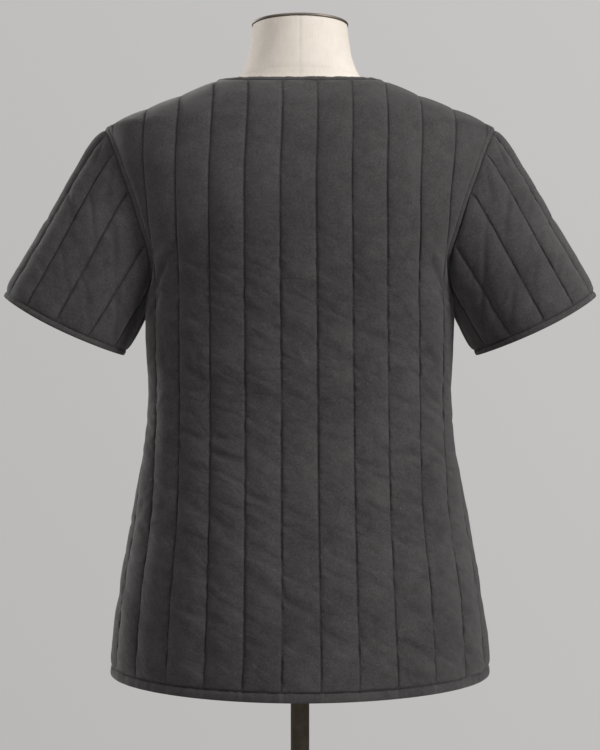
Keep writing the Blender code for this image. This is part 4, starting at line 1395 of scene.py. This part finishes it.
def make_welts():
    """The narrow raised strip over each armhole seam: a flattened tube with painted shade along its two
    stitched edges.
    """
    stations = 330
    angle = np.arange(stations) * math.tau / stations
    centre, body_facing = armhole_loop(angle)
    facing = unit(body_facing + 1.5 * sleeve_facing(angle, np.full(stations, 0.02)))
    along = unit(np.roll(centre, -1, axis=0) - np.roll(centre, 1, axis=0))
    across = unit(np.cross(along, facing))
    facing = np.cross(across, along)
    middle = centre - facing * 2.0
    turn = (np.arange(20) + 0.5) * math.tau / 20
    wide = 3.2 * np.sign(np.cos(turn)) * np.abs(np.cos(turn)) ** 0.55
    thick = 2.9 * np.sign(np.sin(turn)) * np.abs(np.sin(turn)) ** 0.55
    run = np.cumsum(np.linalg.norm(np.roll(centre, -1, axis=0) - centre, axis=1))
    for name, sign, seed in (("left", 1, 101), ("right", -1, 111)):
        ripple = noise(run / 6.0, 0.4, seed)[:, None] * 0.35
        ripple = ripple + noise(run / 2.6, 0.9, seed + 1)[:, None] * 0.15
        lift = thick[None] + ripple * (thick[None] > 0)
        rings = middle[:, None] + wide[None, :, None] * across[:, None] + lift[..., None] * facing[:, None]
        rings = rings * (sign, 1, 1)
        # crease above 1 makes the whole strip paler (wear and painted highlight); gap 0.1 at its two edges
        # gives painted shade along its stitching
        crease = 1.0 + 1.5 * ripple * np.ones((1, len(turn)))
        gap = np.where(np.abs(wide)[None] > 2.5, 0.1, 6.0) * np.ones((stations, 1))
        uv = np.stack(np.broadcast_arrays(run[:, None], wide[None]), axis=-1)
        made = tube(f"armhole_{name}_strip", rings, COTTON, {"crease": crease, "gap": gap}, uv, ring=True)
        sheet_of(made, [f"armhole_welt_{name}"])


def polar(profile, steps):
    """Points of a profile of (radius, height) turned about the upright axis."""
    turn = np.arange(steps) * math.tau / steps
    radius, height = np.array(profile, float).T
    x = radius[:, None] * np.cos(turn)
    y = radius[:, None] * np.sin(turn)
    return np.stack([x, y, np.broadcast_to(height[:, None], x.shape)], axis=-1)


def turned(name, points, surface, attributes=(), uv=None, join_ends=False):
    """A closed body from rings of points. The first and last rings are single points, or join each other."""
    rows, columns = points.shape[:2]
    corner = np.arange(rows * columns).reshape(rows, columns)
    if join_ends:
        corner = np.concatenate([corner, corner[:1]])
    else:
        corner[0] = corner[0, 0]
        corner[-1] = corner[-1, 0]
    quads, triangles = clean(cells(corner, True))
    flat = {key: values.ravel() for key, values in dict(attributes).items()}
    cut = None if uv is None else uv.reshape(-1, 2)
    return build(name, points.reshape(-1, 3), quads, triangles, surface, flat, cut)


def rounded(profile, radius, steps=5):
    """The profile with each inner corner replaced by a curve that starts and ends radius away from it."""
    corners = np.array(profile, float)
    made = [corners[:1]]
    for before, at, after in zip(corners[:-2], corners[1:-1], corners[2:]):
        reach = min(radius, np.linalg.norm(before - at) / 2.2, np.linalg.norm(after - at) / 2.2)
        start = at + (before - at) / np.linalg.norm(before - at) * reach
        end = at + (after - at) / np.linalg.norm(after - at) * reach
        t = np.linspace(0, 1, steps)[:, None]
        made.append((1 - t) ** 2 * start + 2 * t * (1 - t) * at + t**2 * end)
    made.append(corners[-1:])
    return np.concatenate(made)


def make_buttons():
    """Dished horn discs with four holes and two bars of thread, each over its worked buttonhole."""
    edge = BUTTON_RADIUS
    profile = [(0, 0), (edge, 0), (edge, 4.5), (edge - 3.2, 4.4), (edge - 4.2, 3.4), (0, 3.2)]
    profile = rounded(profile, 1.0)
    inner = np.linspace(profile[-2], profile[-1], DISH_RINGS)[1:]
    profile = np.concatenate([profile[:-1], inner])
    disc = polar(profile, 72)
    for x, y in ((1, 1), (1, -1), (-1, 1), (-1, -1)):
        away = np.hypot(disc[..., 0] - HOLE_OUT * x, disc[..., 1] - HOLE_OUT * y)
        top = np.arange(len(profile))[:, None] > len(profile) - DISH_RINGS
        disc[..., 2] -= np.where(top, HOLE_DEPTH * np.exp(-((away / HOLE_RADIUS) ** 4)), 0)
    for number in range(BUTTONS):
        height = np.array(TOP_BUTTON - number * BUTTON_SPACING)
        spot, facing = on_body(np.array(0.0), height, "front")
        right = np.array([-1.0, 0, 0])
        up = np.cross(facing, right)
        rest = spot + facing * BUTTON_RISE
        points = rest + disc[..., :1] * right + disc[..., 1:2] * up + disc[..., 2:] * facing
        made = turned(f"horn_button_{number + 1}", points, HORN)
        stands_for(made, f"button_{number + 1}")
        middle = rest + facing * 3.3 + np.array([[-HOLE_OUT], [HOLE_OUT]]) * up
        runs = [(middle, np.tile(right, (2, 1)), np.tile(facing, (2, 1)))]
        bars = stitches(f"button_thread_{number + 1}", runs, THREAD_BLACK, length=4.3, radius=0.55)
        rides(bars)


def buttonhole_stitches():
    """Close whipping round each buttonhole: stitches side by side, square to a long narrow oval."""
    runs = []
    for number in range(BUTTONS):
        height = TOP_BUTTON - number * BUTTON_SPACING
        turn = np.arange(64) * math.tau / 64
        x = -7.0 + 11.0 * np.cos(turn)
        z = height + 1.3 * np.sign(np.sin(turn)) * np.abs(np.sin(turn)) ** 0.5
        spot, facing = on_body(turn_at(-x, z), z, "front")
        lift = PUFF * (HUG + (1 - HUG) * (1 - (x / 21.8) ** 2)) + 0.15
        middle = spot + facing * lift[:, None]
        outward = np.stack([0.25 * np.cos(turn), 0 * turn, np.sign(np.sin(turn) + 1e-9)], -1)
        runs.append((middle, unit(outward), facing))
    made = stitches("buttonhole_stitching", runs, THREAD_BLACK, length=2.4, radius=0.36)
    rides(made)


def make_form():
    """The dress form: the body's kind of section on each height, a slight groove down its seams."""
    steps = 192
    t = np.arange(steps) * math.tau / steps
    low, high = FORM["height"][0], FORM["height"][-1]
    heights = np.concatenate([np.linspace(low, low + 3, 5), np.linspace(low + 5, high, 250)])
    scale = np.ones(len(heights))
    scale[:5] = 1 - 0.014 * (1 - np.sqrt(1 - (1 - np.linspace(0, 1, 5)) ** 2))
    shrink = np.array([0, 0.25, 0.5, 0.75, 0.95])
    heights = np.concatenate([np.full(5, low), heights, np.full(5, high)])
    scale = np.concatenate([shrink * scale[0], scale, shrink[::-1]])
    sections = {key: smooth(heights, FORM["height"], FORM[key])[:, None] for key in FORM.dtype.names[1:]}
    power = 2 / sections["roundness"]
    x = sections["half_width"] * np.sign(np.sin(t)) * np.abs(np.sin(t)) ** power
    deep = np.where(np.cos(t) > 0, sections["back"], sections["front"])
    y = deep * np.sign(np.cos(t)) * np.abs(np.cos(t)) ** power
    radius = np.hypot(x, y)
    near = 30  # a seam's groove has died away at this distance
    seam_off = np.minimum(np.abs(x), near)
    side_off = np.minimum(np.abs(y), near)
    neck_seam = np.abs(heights[:, None] - (712 + 5 * np.cos(t) ** 2)) * np.ones_like(x)
    seam = bell(seam_off, 1.1) + 0.8 * bell(side_off, 1.1)
    seam = np.clip(seam + 0.9 * bell(neck_seam, 1.1), 0, 1)
    ripple = 0.18 * noise(heights[:, None] / 9, np.round(t / (math.pi / 2)) * 3.3, 131)
    dip = (-0.35 * seam + ripple * np.exp(-seam_off / 7)) / np.maximum(radius, 20)
    grow = scale[:, None] * (1 + dip)
    points = np.stack([x * grow, y * grow, np.broadcast_to(heights[:, None], x.shape)], axis=-1)
    # seam: where the linen gets painted shade in its seam grooves
    attributes = {"seam": bell(np.minimum(seam_off, neck_seam), 0.9)}
    uv = np.stack([np.broadcast_to(t * 110, x.shape), np.broadcast_to(heights[:, None], x.shape)], axis=-1)
    made = turned("form_cover", points, LINEN, attributes, uv)
    stands_for(made, "dress_form")


def make_stand():
    """Neck cap, pole, hub and base: turned steel with its corners eased."""
    cap = 58.0
    low = FORM["height"][-1] + SEAM
    top = [(cap, low + 3.0), (cap - 5, low + 3.4), (cap - 16, low + 4.6), (0, low + 5.0)]
    made = turned("cap_disc", polar(rounded([(0, low), (cap, low), *top], 1.1), 128), CAP_STEEL)
    stands_for(made, "neck_cap")
    pole = 11.2
    floor = -HEM
    foot = floor + 9.0 + SEAM
    under = FORM["height"][0] - SEAM
    profile = rounded([(0, foot), (pole, foot), (pole, under), (0, under)], 0.6)
    made = turned("pole_tube", polar(profile, 64), STAND_STEEL)
    stands_for(made, "pole")
    bore = pole + SEAM
    hub = [(bore, foot), (31, foot), (31, foot + 5), (23, foot + 10), (pole + 5, foot + 36)]
    hub += [(pole + 4, foot + 40), (bore, foot + 40)]
    made = turned("hub_flange", polar(rounded(hub, 1.6), 96), STAND_STEEL, join_ends=True)
    stands_for(made, "base_hub")
    base = [(0, floor), (180, floor), (180, floor + 4), (176, floor + 7.4), (164, floor + 9), (0, floor + 9)]
    made = turned("base_disc", polar(rounded(base, 1.8), 160), STAND_STEEL)
    stands_for(made, "base_plate")


# ---- floor, light and camera ----------------------------------------------------------------------------


def make_floor():
    """A pale round floor that fades into the backdrop."""
    points = polar([(0, 0), (900, 0), (1800, 0), (2600, 0), (2600, -4), (0, -4)], 96)
    made, tree, shader, place_at = new_material("pale floor", Roughness=0.9)
    shader.inputs["Base Color"].default_value = (0.62, 0.61, 0.6, 1)
    length = tree.nodes.new("ShaderNodeVectorMath")
    length.operation = "LENGTH"
    tree.links.new(place_at, length.inputs[0])
    fade = math_node(tree, "MULTIPLY_ADD", length.outputs["Value"], -1.0, 1.5, clamp=True)
    tree.links.new(fade, shader.inputs["Alpha"])
    floor = turned("studio_floor", points - (0, 0, HEM), made)


def make_light(name, spot, target, size, power, colour):
    """A round area light at its spot, turned to face the target."""
    data = bpy.data.lights.new(name, "AREA")
    data.shape = "DISK"
    data.size = size
    data.energy = power
    data.color = colour
    made = bpy.data.objects.new(name, data)
    made.location = spot
    aim = np.array(target, float) - np.array(spot, float)
    flat = math.hypot(aim[0], aim[1])
    made.rotation_euler = (math.atan2(flat, -aim[2]), 0, math.atan2(aim[1], aim[0]) - math.pi / 2)
    bpy.context.scene.collection.objects.link(made)


def make_studio():
    """The backdrop, as bright to the camera as 0.529 - 0.11 x + 0.08 z of its ray, three lights, a camera."""
    scene = bpy.context.scene
    world = bpy.data.worlds.new("studio")
    scene.world = world
    world.use_nodes = True
    tree = world.node_tree
    back = tree.nodes["Background"]
    back.inputs["Color"].default_value = (1.0, 0.980, 0.961, 1)
    way = tree.nodes.new("ShaderNodeTexCoord")
    apart = tree.nodes.new("ShaderNodeSeparateXYZ")
    tree.links.new(way.outputs["Generated"], apart.inputs[0])
    seen = math_node(tree, "MULTIPLY_ADD", apart.outputs["X"], -0.11, 0.529)
    seen = math_node(tree, "MULTIPLY_ADD", apart.outputs["Z"], 0.08, seen)
    looks = tree.nodes.new("ShaderNodeLightPath")
    seen = math_node(tree, "MULTIPLY", seen, looks.outputs["Is Camera Ray"])
    unseen = math_node(tree, "SUBTRACT", 1.0, looks.outputs["Is Camera Ray"])
    tree.links.new(math_node(tree, "MULTIPLY_ADD", unseen, 0.215, seen), back.inputs["Strength"])
    scene.view_settings.view_transform = "Standard"
    make_light("key", (-2.8, 1.7, 2.3), (0, 0, 0.95), 1.1, 112, (1.0, 0.985, 0.965))
    make_light("high_fill", (0.5, 0.95, 2.2), (0, 0.05, 1.25), 0.7, 9.0, (1.0, 0.985, 0.965))
    make_light("front_fill", (2.6, -2.2, 2.2), (0, 0, 0.95), 1.6, 60, (1.0, 0.99, 0.98))
    camera_data = bpy.data.cameras.new("camera")
    camera_data.lens = 70.13
    camera_data.sensor_width = 36.0
    camera = bpy.data.objects.new("camera", camera_data)
    camera.location = (0.0, 1.757, 0.856)
    camera.rotation_euler = (math.pi / 2, 0, math.pi)
    scene.collection.objects.link(camera)
    scene.camera = camera


make_back()
make_fronts()
make_bands()
make_sleeves()
make_cuff_bands()
make_welts()
make_buttons()
buttonhole_stitches()
make_form()
make_stand()
make_floor()
make_studio()
